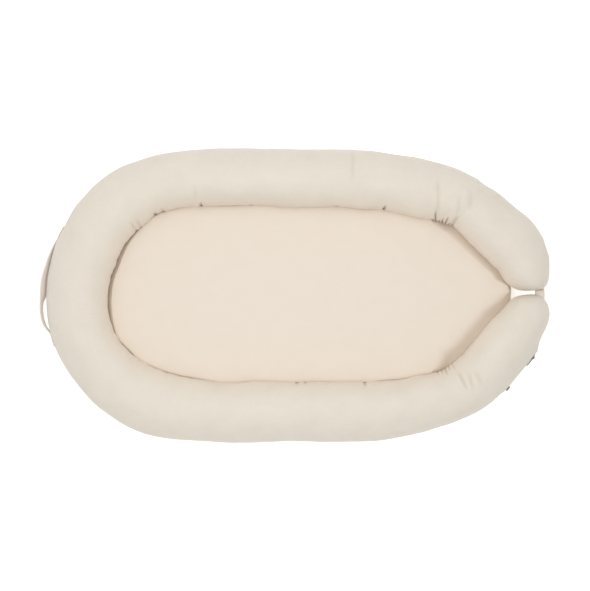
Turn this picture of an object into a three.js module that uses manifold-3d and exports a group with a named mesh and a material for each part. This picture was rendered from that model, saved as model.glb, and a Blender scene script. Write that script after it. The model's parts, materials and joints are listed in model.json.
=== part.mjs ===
// Infant lounger: a stuffed bolster bent round a foam mattress in the shape of a long oval.
// The bolster is sewn to the mattress cover round the head and the sides. Its two free ends,
// the wings, swing open at the foot and are held shut by a small hook-and-loop strap.
// Millimetres. +X points to the foot, +Y to the infant's left side, +Z up, the floor is z = 0.
import * as THREE from 'three';
import { mergeVertices } from 'three/addons/utils/BufferGeometryUtils.js';
import Module from 'manifold-3d';

const wasm = await Module();
wasm.setup();

// Clearances and cloth
const SEAT_GAP = 0.3;
const COVER_WALL = 2;
const PANEL_WALL = 2;
const FLOOR_FLAT_DEPTH = 0.5;
const CUT_OVERRUN = 6;

// Bolster round the head and the sides, measured on its centreline
const BOLSTER_WIDTH = 104;
const BOLSTER_HEIGHT = 99;
const BOLSTER_FACETS = 16;
const HEAD_RADIUS = 205;
const HEAD_CENTRE_X = -174;
const HEAD_TURN = 90;
const SIDE_LENGTH = 288;
const TOE_IN_RADIUS = 250;
const TOE_IN_TURN = 11;
const TOE_IN_LENGTH = 90;
const HEAD_STATIONS = 9;
const SIDE_STATIONS = 5;
const TOE_IN_STATIONS = 2;
const TOE_IN_LENGTH_STATIONS = 2;

// Elbow: the gathered stretch where the bolster leaves the mattress
const ELBOW_LENGTH = 48;
const ELBOW_PLEATS = 4;
const STATIONS_PER_PLEAT = 4;
const PLEAT_DEPTH = 3.4;
const ELBOW_FILLING_STATIONS = 6;

// Wings: the free ends of the bolster beyond the elbows
const WING_WIDTH = 97;
const WING_HEIGHT = 95;
const WING_BEND_STATIONS = 3;
const TIP_TAPER = 72;
const TIP_STATION_SHARES = [0.74, 0.5, 0.29, 0.14, 0.045, 0.006];
const LEFT_WING = {
  side: 1, bendRadius: 124, bendTurn: 29, tipRadius: 102, tipTurn: 33, tipLength: 44, tipInset: 12.1,
};
const RIGHT_WING = {
  side: -1, bendRadius: 144, bendTurn: 40, tipRadius: 92, tipTurn: 40, tipLength: 11, tipInset: 0,
};

// Mattress and its cover
const MATTRESS_CROWN_Z = 40;
const MATTRESS_EDGE_Z = 37;
const MATTRESS_SEAM_Z = 22;
const MATTRESS_BASE_Z = 8;
const MATTRESS_CROWN_SHARES = [0.45, 0.84];
const MATTRESS_CROWN_DIP = 0.8;
const BASE_CENTRE_SHARE = 0.8;
const BASE_TUCK = 7;
const SHOULDER_TURNS = [0, 38, 68, 90];
const BASE_TURNS = [90, 50, 0];
const SIDE_SHOULDER = 2;
const HEAD_SHOULDER = 7;
const FOOT_SHOULDER = 20;
const TOE_SHOULDER = 4;
const TOE_X = 379;
const TOE_HALF_WIDTH = 9;
const TOE_INWARD_SHARE = 0.7;
const FOOT_UNDERLAP = 4;
const SLANT_STEPS = 6;
const SLANT_END = 32;

// Zip: one pattern for the mattress opening and for the filling opening in the right wing
const ZIP = {
  tapeWidth: 8,
  tapeThickness: 0.6,
  tapeTail: 6,
  toothPitch: 5,
  toothNeck: 1.4,
  toothHead: 2.1,
  toothReach: 1.2,
  spineInner: 1.6,
  spineOuter: 2.4,
  chainThickness: 1.8,
  slotHalfWidth: 4.6,
  sliderLength: 11,
  sliderHalfWidth: 4,
  sliderNoseHalfWidth: 2.6,
  plateThickness: 1,
  postLength: 3,
  postHalfWidth: 1,
  crownHalfWidth: 1,
  crownWall: 1.1,
  crownOpening: 2.6,
  crownHeight: 1.9,
  pullLength: 19,
  pullHalfWidth: 3.3,
  pullThickness: 1.2,
  pullBar: 1.2,
  pullWindow: 3.2,
  pullWindowHalfWidth: 1.6,
  stopLength: 3,
  topStopLength: 2,
};
const COMB_PHASE_SHARES = [0.25, 0.75];
const BASE_ZIP_X = -60;
const BASE_ZIP_MARGIN = 29;
const WING_ZIP_MARGIN = 1.2;
const WING_ZIP_INSET = 1;

// Carry handle on the outside of the head end
const HANDLE_MIDDLE_ANGLE = 3.5;
const HANDLE_HALF_ANGLE = 18;
const HANDLE_STAND_OFF = 6;
const HANDLE_GAP = 15;
const HANDLE_THICKNESS = 3;
const HANDLE_WIDTH = 24;
const HANDLE_END_WIDTH = 11;
const HANDLE_STATIONS = 18;
const HANDLE_BOW_POWER = 2.5;
const HANDLE_TAPER_POWER = 6;
const ANCHOR_LENGTH = 24;
const ANCHOR_WIDTH = 18;
const ANCHOR_FOLD = 9;
const ANCHOR_STATIONS = 5;

// Closing strap between the two wing tips
const STRAP_WIDTH = 15;
const STRAP_OFFSET_X = 25;
const STRAP_THICKNESS = 2;
const STRAP_TOP_Z = 47;
const STRAP_HINGE_Y = 11;
const STRAP_TIP_Y = -1;
const STRAP_ROOT_DEPTH = 22;
const STRAP_EDGE = 1;
const STRAP_TIP_CORNER = 2.5;
const PATCH_THICKNESS = 1;
const LOOP_TAB_TIP_Y = 8.5;
const LOOP_TAB_ROOT_DEPTH = 24;

// Finishes
const LINEN = { color: 0xdfd8ca, roughness: 0.95, metalness: 0 };
const COTTON = { color: 0xebe1d0, roughness: 0.92, metalness: 0 };
const FIBRE = { color: 0xf4f2ee, roughness: 1, metalness: 0 };
const FOAM = { color: 0xf3eedd, roughness: 0.9, metalness: 0 };
const TAPE = { color: 0xe2dacb, roughness: 0.9, metalness: 0 };
const TOOTH = { color: 0xd8cfbe, roughness: 0.45, metalness: 0 };
const SLIDER_METAL = { color: 0x5b5852, roughness: 0.4, metalness: 0.9 };
const HOOK = { color: 0xdccdc1, roughness: 0.85, metalness: 0 };

const radians = THREE.MathUtils.degToRad;

function signedVolume(geometry) {
  const p = geometry.attributes.position;
  const index = geometry.index.array;
  const [a, b, c] = [new THREE.Vector3(), new THREE.Vector3(), new THREE.Vector3()];
  let sum = 0;
  for (let i = 0; i < index.length; i += 3) {
    a.fromBufferAttribute(p, index[i]);
    b.fromBufferAttribute(p, index[i + 1]);
    c.fromBufferAttribute(p, index[i + 2]);
    sum += a.dot(b.cross(c));
  }
  return sum;
}

// A skin over a row of rings of equal count. A loop joins the last ring to the first,
// and otherwise a fan about its middle closes each end.
function loft(rings, loop = false) {
  const count = rings[0].length;
  const points = rings.flat();
  const index = [];
  const bands = loop ? rings.length : rings.length - 1;
  for (let i = 0; i < bands; i += 1) {
    const a = i * count;
    const b = ((i + 1) % rings.length) * count;
    for (let k = 0; k < count; k += 1) {
      const next = (k + 1) % count;
      index.push(a + k, a + next, b + next, a + k, b + next, b + k);
    }
  }
  if (!loop) {
    [0, rings.length - 1].forEach((end) => {
      const middle = new THREE.Vector3();
      rings[end].forEach((point) => middle.addScaledVector(point, 1 / count));
      points.push(middle);
      const centre = points.length - 1;
      const first = end * count;
      for (let k = 0; k < count; k += 1) {
        const next = (k + 1) % count;
        if (end === 0) index.push(first + next, first + k, centre);
        else index.push(first + k, first + next, centre);
      }
    });
  }
  const geometry = new THREE.BufferGeometry().setFromPoints(points);
  geometry.setIndex(index);
  if (signedVolume(geometry) < 0) {
    for (let i = 0; i < index.length; i += 3) [index[i], index[i + 1]] = [index[i + 1], index[i]];
    geometry.setIndex(index);
  }
  return geometry;
}

function solidOf(geometry) {
  const bare = geometry.clone();
  bare.deleteAttribute('normal');
  bare.deleteAttribute('uv');
  const merged = mergeVertices(bare);
  return new wasm.Manifold(new wasm.Mesh({
    numProp: 3,
    vertProperties: new Float32Array(merged.attributes.position.array),
    triVerts: new Uint32Array(merged.index.array),
  }));
}

function geometryOf(solid) {
  const mesh = solid.getMesh();
  const geometry = new THREE.BufferGeometry();
  geometry.setAttribute('position', new THREE.BufferAttribute(mesh.vertProperties, 3));
  geometry.setIndex(new THREE.BufferAttribute(mesh.triVerts, 1));
  return geometry;
}

function cut(geometry, ...tools) {
  return geometryOf(tools.reduce((solid, tool) => solid.subtract(solidOf(tool)), solidOf(geometry)));
}

function join(...geometries) {
  const [first, ...rest] = geometries.map(solidOf);
  return geometryOf(rest.reduce((solid, other) => solid.add(other), first));
}

function block(low, high) {
  const size = high.clone().sub(low);
  const box = new THREE.BoxGeometry(size.x, size.y, size.z);
  return box.translate((low.x + high.x) / 2, (low.y + high.y) / 2, (low.z + high.z) / 2);
}

function plate(outline, thickness, hole) {
  const shape = new THREE.Shape(outline.map(([x, y]) => new THREE.Vector2(x, y)));
  if (hole) shape.holes.push(new THREE.Path(hole.map(([x, y]) => new THREE.Vector2(x, y))));
  return new THREE.ExtrudeGeometry(shape, { depth: thickness, bevelEnabled: false });
}

const model = new THREE.Group();

function add(name, geometry, finish, parent = model) {
  const mesh = new THREE.Mesh(geometry, new THREE.MeshStandardMaterial(finish));
  mesh.name = name;
  parent.add(mesh);
  return mesh;
}

// Length of a wing's straight run, which takes its tip to its place beside the middle line.
function straightRun(wing) {
  const toedIn = radians(TOE_IN_TURN);
  const bent = toedIn + radians(wing.bendTurn);
  const turned = bent + radians(wing.tipTurn);
  const inward = TOE_IN_RADIUS * (1 - Math.cos(toedIn)) + TOE_IN_LENGTH * Math.sin(toedIn)
    + wing.bendRadius * (Math.cos(toedIn) - Math.cos(bent))
    + wing.tipRadius * (Math.cos(bent) - Math.cos(turned)) + wing.tipLength * Math.sin(turned);
  return (HEAD_RADIUS - inward - wing.tipInset) / Math.sin(bent);
}

// Centreline of one side of the bolster, from the middle of the head to the wing tip.
function centreline(wing) {
  const legs = [
    { radius: HEAD_RADIUS, turn: HEAD_TURN },
    { run: SIDE_LENGTH },
    { radius: TOE_IN_RADIUS, turn: TOE_IN_TURN },
    { run: TOE_IN_LENGTH },
    { radius: wing.bendRadius, turn: wing.bendTurn },
    { run: straightRun(wing) },
    { radius: wing.tipRadius, turn: wing.tipTurn },
    { run: wing.tipLength },
  ];
  let x = HEAD_CENTRE_X - HEAD_RADIUS;
  let y = 0;
  let heading = radians(HEAD_TURN);
  let reached = 0;
  const spans = legs.map((leg) => {
    const turn = leg.run === undefined ? radians(leg.turn) : 0;
    const span = {
      x, y, heading, radius: leg.radius, from: reached, to: reached + (leg.run ?? leg.radius * turn),
    };
    const end = pointOn(span, span.to);
    [x, y, heading, reached] = [end.x, end.y, end.heading, span.to];
    return span;
  });
  const at = (s) => {
    const span = spans.find((item) => s <= item.to) ?? spans.at(-1);
    const point = pointOn(span, s);
    return {
      middle: new THREE.Vector3(point.x, wing.side * point.y, 0),
      outward: new THREE.Vector3(-Math.sin(point.heading), wing.side * Math.cos(point.heading), 0),
      along: new THREE.Vector3(Math.cos(point.heading), wing.side * Math.sin(point.heading), 0),
    };
  };
  const [, , , toeInRun, bend, run] = spans;
  return {
    at, wing, spans, elbowStart: toeInRun.to, elbowEnd: toeInRun.to + ELBOW_LENGTH,
    runStart: bend.to, runEnd: run.to, length: reached,
  };
}

function pointOn(span, s) {
  const d = s - span.from;
  if (span.radius === undefined) {
    return {
      x: span.x + d * Math.cos(span.heading), y: span.y + d * Math.sin(span.heading),
      heading: span.heading,
    };
  }
  const heading = span.heading - d / span.radius;
  return {
    x: span.x + span.radius * (Math.sin(span.heading) - Math.sin(heading)),
    y: span.y + span.radius * (Math.cos(heading) - Math.cos(span.heading)),
    heading,
  };
}

const left = centreline(LEFT_WING);
const right = centreline(RIGHT_WING);

// Height and width of the bolster at a station. The wings are a little slimmer, and each
// tip closes in a blunt dome. depth is how far the layer lies under the outer cloth.
function bolsterSize(path, s, depth) {
  const narrowing = THREE.MathUtils.clamp((s - path.elbowEnd) / (path.runStart - path.elbowEnd), 0, 1);
  const fromTip = THREE.MathUtils.clamp((path.length - s - depth) / (TIP_TAPER - depth), 0, 1);
  const dome = Math.cbrt(1 - (1 - fromTip) ** 2);
  const width = THREE.MathUtils.lerp(BOLSTER_WIDTH, WING_WIDTH, narrowing);
  const height = THREE.MathUtils.lerp(BOLSTER_HEIGHT, WING_HEIGHT, narrowing);
  return {
    halfWidth: (width / 2 - depth) * dome,
    halfHeight: (height / 2 - depth) * dome,
    middleZ: height / 2 - FLOOR_FLAT_DEPTH,
  };
}

function bolsterRing(path, s, depth, pleat = 0) {
  const { middle, outward } = path.at(s);
  const size = bolsterSize(path, s, depth);
  const halfStep = Math.PI / BOLSTER_FACETS;
  const ring = [];
  for (let k = 0; k < BOLSTER_FACETS; k += 1) {
    const angle = (2 * k + 1) * halfStep;
    const inner = Math.max(0, -Math.cos(angle)) ** 2;
    const draw = pleat * inner;
    const reach = (size.halfWidth / Math.cos(halfStep) - draw) * Math.cos(angle);
    const rise = (size.halfHeight / Math.cos(halfStep) - draw) * Math.sin(angle);
    const point = middle.clone().addScaledVector(outward, reach);
    point.z = Math.max(depth, size.middleZ + rise);
    ring.push(point);
  }
  return ring;
}

function evenly(from, to, steps) {
  return Array.from({ length: steps }, (_, i) => from + ((to - from) * (i + 1)) / steps);
}

// Stations of the sewn bolster on one side, from the middle of the head to the elbow.
const SIDE_STATION_COUNTS = [HEAD_STATIONS, SIDE_STATIONS, TOE_IN_STATIONS, TOE_IN_LENGTH_STATIONS];
const sewnStations = SIDE_STATION_COUNTS.flatMap((count, i) => (
  evenly(left.spans[i].from, left.spans[i].to, count)
));
const sewnEnd = (s) => (s === left.elbowStart ? s - SEAT_GAP / 2 : s);

function sewnRings(depth) {
  const rightSide = [...sewnStations].reverse().map((s) => bolsterRing(right, sewnEnd(s), depth));
  const leftSide = sewnStations.map((s) => bolsterRing(left, sewnEnd(s), depth));
  return [...rightSide, bolsterRing(left, 0, depth), ...leftSide];
}

function shell(ringsAt) {
  return loft([...ringsAt(0).reverse(), ...ringsAt(COVER_WALL)], true);
}

add('bolster_cover', shell(sewnRings), LINEN);
add('bolster_filling', loft(sewnRings(COVER_WALL + SEAT_GAP)), FIBRE);

// The elbow's cloth is gathered on its inner side into pleats that run round the bolster.
function elbowRings(path, depth, steps) {
  const from = path.elbowStart + SEAT_GAP / 2;
  const to = path.elbowEnd - SEAT_GAP / 2;
  const pleatAt = (s) => {
    const turn = (2 * Math.PI * ELBOW_PLEATS * (s - from)) / (to - from);
    return (PLEAT_DEPTH * (1 - Math.cos(turn))) / 2;
  };
  return [from, ...evenly(from, to, steps)].map((s) => bolsterRing(path, s, depth, pleatAt(s)));
}

function wingStations(path) {
  const tip = TIP_STATION_SHARES.map((share) => path.length - share * TIP_TAPER);
  const from = path.elbowEnd + SEAT_GAP / 2;
  const bend = [from, ...evenly(from, path.runStart, WING_BEND_STATIONS)];
  return [...bend, path.runEnd, ...tip];
}

function wingRings(path, depth) {
  return wingStations(path).map((s) => {
    const fromTip = path.length - s;
    const drawn = fromTip < TIP_TAPER ? s - depth * (1 - fromTip / TIP_TAPER) : s;
    return bolsterRing(path, drawn, depth);
  });
}

// A cover open at the elbow: the outer cloth up to the tip, and the inner cloth back again.
function wingCover(path) {
  return loft([...wingRings(path, 0).reverse(), ...wingRings(path, COVER_WALL)]);
}

function elbowFillingRings(path) {
  const depth = COVER_WALL + SEAT_GAP;
  const from = path.elbowStart + SEAT_GAP / 2;
  const to = path.elbowEnd - SEAT_GAP / 2;
  const stations = [from, ...evenly(from, to, ELBOW_FILLING_STATIONS)];
  return stations.map((s) => bolsterRing(path, s, depth, PLEAT_DEPTH));
}

[['left', left], ['right', right]].forEach(([name, path]) => {
  const steps = ELBOW_PLEATS * STATIONS_PER_PLEAT;
  add(`${name}_elbow_cover`, shell((depth) => elbowRings(path, depth, steps)), LINEN);
  add(`${name}_elbow_filling`, loft(elbowFillingRings(path)), FIBRE);
  add(`${name}_wing_filling`, loft(wingRings(path, COVER_WALL + SEAT_GAP)), FIBRE);
});
add('left_wing_cover', wingCover(left), LINEN);

// Mattress outline: along the bolster's inner side, just under the wings, then to a blunt toe.
function mattressOutline() {
  const halfOutline = (path) => {
    const points = sewnStations.map((s) => {
      const { middle, outward } = path.at(s);
      const reach = BOLSTER_WIDTH / 2 + SEAT_GAP;
      const headShare = Math.max(0, 1 - s / left.spans[0].to);
      return {
        point: middle.clone().addScaledVector(outward, -reach),
        inward: outward.clone().negate(),
        shoulder: THREE.MathUtils.lerp(SIDE_SHOULDER, HEAD_SHOULDER, headShare),
      };
    });
    evenly(path.elbowStart, path.length - SLANT_END, SLANT_STEPS).forEach((s, i) => {
      const { middle, outward } = path.at(s);
      const share = (i + 1) / (SLANT_STEPS + 1);
      const reach = bolsterSize(path, s, 0).halfWidth + SEAT_GAP - FOOT_UNDERLAP * Math.min(1, 2 * share);
      const base = THREE.MathUtils.lerp(SIDE_SHOULDER, TOE_SHOULDER, share);
      points.push({
        point: middle.clone().addScaledVector(outward, -reach),
        inward: outward.clone().negate(),
        shoulder: base + (FOOT_SHOULDER - base) * Math.sin(Math.PI * Math.sqrt(share)),
      });
    });
    points.push({
      point: new THREE.Vector3(TOE_X, path.wing.side * TOE_HALF_WIDTH, 0),
      inward: new THREE.Vector3(-1, -path.wing.side * TOE_INWARD_SHARE, 0).normalize(),
      shoulder: TOE_SHOULDER,
    });
    return points;
  };
  const { middle, outward } = left.at(0);
  const apex = {
    point: middle.clone().addScaledVector(outward, -(BOLSTER_WIDTH / 2 + SEAT_GAP)),
    inward: outward.clone().negate(),
    shoulder: HEAD_SHOULDER,
  };
  return [apex, ...halfOutline(left), ...halfOutline(right).reverse()];
}

const outline = mattressOutline();

function insetRing(insetOf, z) {
  return outline.map((item) => {
    const point = item.point.clone().addScaledVector(item.inward, insetOf(item));
    point.z = z;
    return point;
  });
}

function centreRing(share, z) {
  return outline.map(({ point }) => new THREE.Vector3(point.x * share, point.y * share, z));
}

// The upper skin from its crown down over the shoulder to the seam, at a depth under the cloth.
function upperRings(depth, seamZ) {
  const crown = MATTRESS_CROWN_SHARES.map((share, i) => (
    centreRing(share, MATTRESS_CROWN_Z - depth - i * MATTRESS_CROWN_DIP)
  ));
  const shoulder = SHOULDER_TURNS.map(radians).map((turn) => insetRing(
    (item) => item.shoulder * (1 - Math.sin(turn)) + depth * Math.sin(turn),
    seamZ + (MATTRESS_EDGE_Z - seamZ - depth) * Math.cos(turn),
  ));
  return [...crown, ...shoulder];
}

// The lower skin from the seam down round the tuck to the middle of the underside.
function lowerRings(depth, seamZ) {
  const tuck = BASE_TURNS.map(radians).map((turn) => insetRing(
    () => BASE_TUCK * (1 - Math.sin(turn)) + depth * Math.sin(turn),
    seamZ - (seamZ - MATTRESS_BASE_Z - depth) * Math.cos(turn),
  ));
  return [...tuck, centreRing(BASE_CENTRE_SHARE, MATTRESS_BASE_Z + depth)];
}

const topSeamZ = MATTRESS_SEAM_Z + SEAT_GAP / 2;
const baseSeamZ = MATTRESS_SEAM_Z - SEAT_GAP / 2;
const foamDepth = PANEL_WALL + SEAT_GAP;
add('mattress_foam', loft([
  ...upperRings(foamDepth, MATTRESS_SEAM_Z),
  ...lowerRings(foamDepth, MATTRESS_SEAM_Z).slice(1),
].reverse()), FOAM);
add('mattress_top_panel', loft([
  ...upperRings(0, topSeamZ),
  ...upperRings(PANEL_WALL, topSeamZ).reverse(),
]), COTTON);

// Zip in its own frame: x along the teeth, y across them, z out of the cloth it is sewn to.
// The slider rests at the closed end, past the last tooth. The chain is as long as fits the opening.
function zipSizes(opening) {
  const teethStart = ZIP.stopLength + SEAT_GAP;
  const closedEnd = SEAT_GAP + ZIP.sliderLength + SEAT_GAP + ZIP.topStopLength;
  const teeth = Math.floor((opening - teethStart - closedEnd) / ZIP.toothPitch);
  const teethEnd = teethStart + teeth * ZIP.toothPitch;
  const sliderStart = teethEnd + SEAT_GAP;
  const sliderEnd = sliderStart + ZIP.sliderLength;
  const end = sliderEnd + SEAT_GAP + ZIP.topStopLength;
  return { teeth, teethStart, teethEnd, sliderStart, sliderEnd, end };
}

const tapeMiddleZ = SEAT_GAP + ZIP.tapeThickness / 2;
const chainLowZ = tapeMiddleZ - ZIP.chainThickness / 2;
const chainHighZ = tapeMiddleZ + ZIP.chainThickness / 2;
const crownBaseZ = chainHighZ + SEAT_GAP + ZIP.plateThickness;
const pullAxisZ = crownBaseZ + ZIP.crownHeight / 2;

// One row of teeth on its cord, as a single comb. Each head lies behind the necks of the other row.
function combOutline(sizes, side) {
  const start = sizes.teethStart;
  const phase = COMB_PHASE_SHARES[side > 0 ? 0 : 1];
  const points = [[start, side * ZIP.spineOuter], [start, side * ZIP.spineInner]];
  for (let i = 0; i < sizes.teeth; i += 1) {
    const x = start + (i + phase) * ZIP.toothPitch;
    points.push(
      [x - ZIP.toothNeck / 2, side * ZIP.spineInner],
      [x - ZIP.toothNeck / 2, 0],
      [x - ZIP.toothHead / 2, -side * ZIP.toothReach / 2],
      [x - ZIP.toothNeck / 2, -side * ZIP.toothReach],
      [x + ZIP.toothNeck / 2, -side * ZIP.toothReach],
      [x + ZIP.toothHead / 2, -side * ZIP.toothReach / 2],
      [x + ZIP.toothNeck / 2, 0],
      [x + ZIP.toothNeck / 2, side * ZIP.spineInner],
    );
  }
  points.push([sizes.teethEnd, side * ZIP.spineInner], [sizes.teethEnd, side * ZIP.spineOuter]);
  return points;
}

function sliderGeometry(sizes) {
  const { sliderStart: from, sliderEnd: to } = sizes;
  const wide = ZIP.sliderHalfWidth;
  const nose = ZIP.sliderNoseHalfWidth;
  const waist = (from + to) / 2;
  const outlinePoints = [
    [from, -nose], [waist, -wide], [to, -wide], [to, wide], [waist, wide], [from, nose],
  ];
  const outerPlate = plate(outlinePoints, ZIP.plateThickness).translate(0, 0, chainHighZ + SEAT_GAP);
  const innerPlate = plate(outlinePoints, ZIP.plateThickness)
    .translate(0, 0, chainLowZ - SEAT_GAP - ZIP.plateThickness);
  const sunk = ZIP.plateThickness / 2;
  const post = block(
    new THREE.Vector3(to - ZIP.postLength, -ZIP.postHalfWidth, chainLowZ - SEAT_GAP - sunk),
    new THREE.Vector3(to, ZIP.postHalfWidth, chainHighZ + SEAT_GAP + sunk),
  );
  const open = ZIP.crownOpening / 2;
  const reach = open + ZIP.crownWall;
  const under = ZIP.crownHeight;
  const top = under + ZIP.crownWall;
  const arch = plate([
    [-reach, -sunk], [-open, -sunk], [-open, under], [open, under], [open, -sunk], [reach, -sunk],
    [reach, under], [open, top], [-open, top], [-reach, under],
  ], 2 * ZIP.crownHalfWidth)
    .rotateX(Math.PI / 2)
    .translate(waist, ZIP.crownHalfWidth, crownBaseZ);
  return join(outerPlate, innerPlate, post, arch);
}

// The pull's bar passes under the slider's crown, and its plate lies back over the teeth.
function pullGeometry(sizes) {
  const axisX = (sizes.sliderStart + sizes.sliderEnd) / 2;
  const half = ZIP.pullHalfWidth;
  const front = ZIP.pullBar / 2;
  const back = -ZIP.pullLength;
  const window = ZIP.pullWindowHalfWidth;
  const windowEnd = -front - ZIP.pullWindow;
  const body = plate([
    [front, -half], [front, half], [back + half, half],
    [back, half / 2], [back, -half / 2], [back + half, -half],
  ], ZIP.pullThickness, [
    [-front, -window], [windowEnd, -window], [windowEnd, window], [-front, window],
  ]);
  return body.translate(axisX, 0, pullAxisZ - ZIP.pullThickness / 2);
}

function addZip(prefix, sizes, frame) {
  const group = new THREE.Group();
  frame.decompose(group.position, group.quaternion, group.scale);
  model.add(group);
  const innerEdge = ZIP.spineOuter + SEAT_GAP;
  [['a', 1], ['b', -1]].forEach(([name, side]) => {
    const edges = [side * innerEdge, side * (innerEdge + ZIP.tapeWidth)];
    add(`${prefix}_tape_${name}`, block(
      new THREE.Vector3(-ZIP.tapeTail, Math.min(...edges), SEAT_GAP),
      new THREE.Vector3(sizes.end + ZIP.tapeTail, Math.max(...edges), SEAT_GAP + ZIP.tapeThickness),
    ), TAPE, group);
    const comb = plate(combOutline(sizes, side), ZIP.chainThickness).translate(0, 0, chainLowZ);
    add(`${prefix}_teeth_${name}`, comb, TOOTH, group);
    const stopEdges = [side * SEAT_GAP, side * ZIP.spineOuter];
    add(`${prefix}_top_stop_${name}`, block(
      new THREE.Vector3(sizes.end - ZIP.topStopLength, Math.min(...stopEdges), chainLowZ),
      new THREE.Vector3(sizes.end, Math.max(...stopEdges), chainHighZ),
    ), SLIDER_METAL, group);
  });
  add(`${prefix}_bottom_stop`, block(
    new THREE.Vector3(0, -ZIP.spineOuter, chainLowZ),
    new THREE.Vector3(ZIP.stopLength, ZIP.spineOuter, chainHighZ),
  ), SLIDER_METAL, group);
  add(`${prefix}_slider`, sliderGeometry(sizes), SLIDER_METAL, group);
  add(`${prefix}_pull`, pullGeometry(sizes), SLIDER_METAL, group);
}

function zipSlot(sizes, wall, frame) {
  return block(
    new THREE.Vector3(-SEAT_GAP, -ZIP.slotHalfWidth, -wall - CUT_OVERRUN / 2),
    new THREE.Vector3(sizes.end + SEAT_GAP, ZIP.slotHalfWidth, CUT_OVERRUN / 2),
  ).applyMatrix4(frame);
}

// Mattress zip: across the underside, near the middle of the length.
const baseHalfWidth = HEAD_RADIUS - BOLSTER_WIDTH / 2 - SEAT_GAP;
const baseZip = zipSizes(2 * (baseHalfWidth - BASE_ZIP_MARGIN));
const baseZipFrame = new THREE.Matrix4().makeBasis(
  new THREE.Vector3(0, 1, 0),
  new THREE.Vector3(1, 0, 0),
  new THREE.Vector3(0, 0, -1),
).setPosition(BASE_ZIP_X, -baseZip.end / 2, MATTRESS_BASE_Z);
const basePanel = loft([
  ...lowerRings(PANEL_WALL, baseSeamZ).reverse(),
  ...lowerRings(0, baseSeamZ),
]);
add('mattress_base_panel', cut(basePanel, zipSlot(baseZip, PANEL_WALL, baseZipFrame)), COTTON);
addZip('base_zip', baseZip, baseZipFrame);

// Filling zip: level along the outer side of the right wing's straight run, closed at the tip end.
const wingZip = zipSizes(right.runEnd - right.runStart - 2 * WING_ZIP_MARGIN);
const runFrame = right.at((right.runStart + right.runEnd) / 2);
const wingZipOrigin = runFrame.middle.clone()
  .addScaledVector(runFrame.outward, WING_WIDTH / 2)
  .addScaledVector(runFrame.along, WING_ZIP_INSET - wingZip.end / 2);
const wingZipFrame = new THREE.Matrix4().makeBasis(
  runFrame.along,
  new THREE.Vector3().crossVectors(runFrame.outward, runFrame.along),
  runFrame.outward,
).setPosition(wingZipOrigin.x, wingZipOrigin.y, WING_HEIGHT / 2 - FLOOR_FLAT_DEPTH);
add('right_wing_cover', cut(wingCover(right), zipSlot(wingZip, COVER_WALL, wingZipFrame)), LINEN);
addZip('wing_zip', wingZip, wingZipFrame);

// Carry handle in the frame of its chord: t runs along the line through its two ends,
// o points out of the bolster and z is up. The loop turns about that line.
const outerRadius = HEAD_RADIUS + BOLSTER_WIDTH / 2;
const chordHalf = (outerRadius + HANDLE_STAND_OFF) * Math.sin(radians(HANDLE_HALF_ANGLE));
const chordDistance = (outerRadius + HANDLE_STAND_OFF) * Math.cos(radians(HANDLE_HALF_ANGLE));
const handleOut = new THREE.Vector3(
  -Math.cos(radians(HANDLE_MIDDLE_ANGLE)), Math.sin(radians(HANDLE_MIDDLE_ANGLE)), 0,
);
const handleAlong = new THREE.Vector3(handleOut.y, -handleOut.x, 0);
const handleMiddleZ = BOLSTER_HEIGHT / 2 - FLOOR_FLAT_DEPTH;

function handleRing(t, lowO, highO, width) {
  const corner = (o, z) => new THREE.Vector3(HEAD_CENTRE_X, 0, handleMiddleZ + z)
    .addScaledVector(handleAlong, t)
    .addScaledVector(handleOut, chordDistance + o);
  const half = width / 2;
  return [corner(lowO, -half), corner(highO, -half), corner(highO, half), corner(lowO, half)];
}

const bolsterEdge = (t) => Math.sqrt(outerRadius ** 2 - t ** 2) - chordDistance;
const handleBow = bolsterEdge(0) + HANDLE_GAP;
const handleLoop = [0, ...evenly(0, 1, HANDLE_STATIONS)].map((share) => {
  const t = (2 * share - 1) * (chordHalf - SEAT_GAP);
  const near = Math.abs(2 * share - 1);
  const middle = handleBow * (1 - near ** HANDLE_BOW_POWER);
  const width = THREE.MathUtils.lerp(HANDLE_WIDTH, HANDLE_END_WIDTH, near ** HANDLE_TAPER_POWER);
  return handleRing(t, middle - HANDLE_THICKNESS / 2, middle + HANDLE_THICKNESS / 2, width);
});
add('carry_handle', loft(handleLoop), LINEN);

// Each anchor is the strap's folded end, sewn flat to the bolster and standing up at the loop.
[['left', 1], ['right', -1]].forEach(([name, side]) => {
  const rings = [0, ...evenly(0, ANCHOR_LENGTH, ANCHOR_STATIONS)].map((distance) => {
    const t = chordHalf + distance;
    const fold = Math.max(0, 1 - distance / ANCHOR_FOLD);
    const low = bolsterEdge(t) + SEAT_GAP;
    const flat = low + HANDLE_THICKNESS;
    const high = THREE.MathUtils.lerp(flat, Math.max(flat, HANDLE_THICKNESS / 2), fold);
    const width = THREE.MathUtils.lerp(ANCHOR_WIDTH, HANDLE_END_WIDTH, fold);
    return handleRing(side * t, low, high, width);
  });
  add(`handle_anchor_${name}`, loft(rings), LINEN);
});

// Closing strap: a flat tongue on the left tip that lies under a tab on the right tip.
const tipXs = [left, right].map((path) => path.at(path.length).middle.x);
const strapMiddleX = Math.min(...tipXs) + STRAP_OFFSET_X;
const strapLowX = strapMiddleX - STRAP_WIDTH / 2;
const strapHighX = strapMiddleX + STRAP_WIDTH / 2;
const strapLowZ = STRAP_TOP_Z - STRAP_THICKNESS;
const hookTopZ = STRAP_TOP_Z + SEAT_GAP + PATCH_THICKNESS;
const loopLowZ = hookTopZ + SEAT_GAP;
const tabLowZ = loopLowZ + PATCH_THICKNESS + SEAT_GAP;

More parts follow.
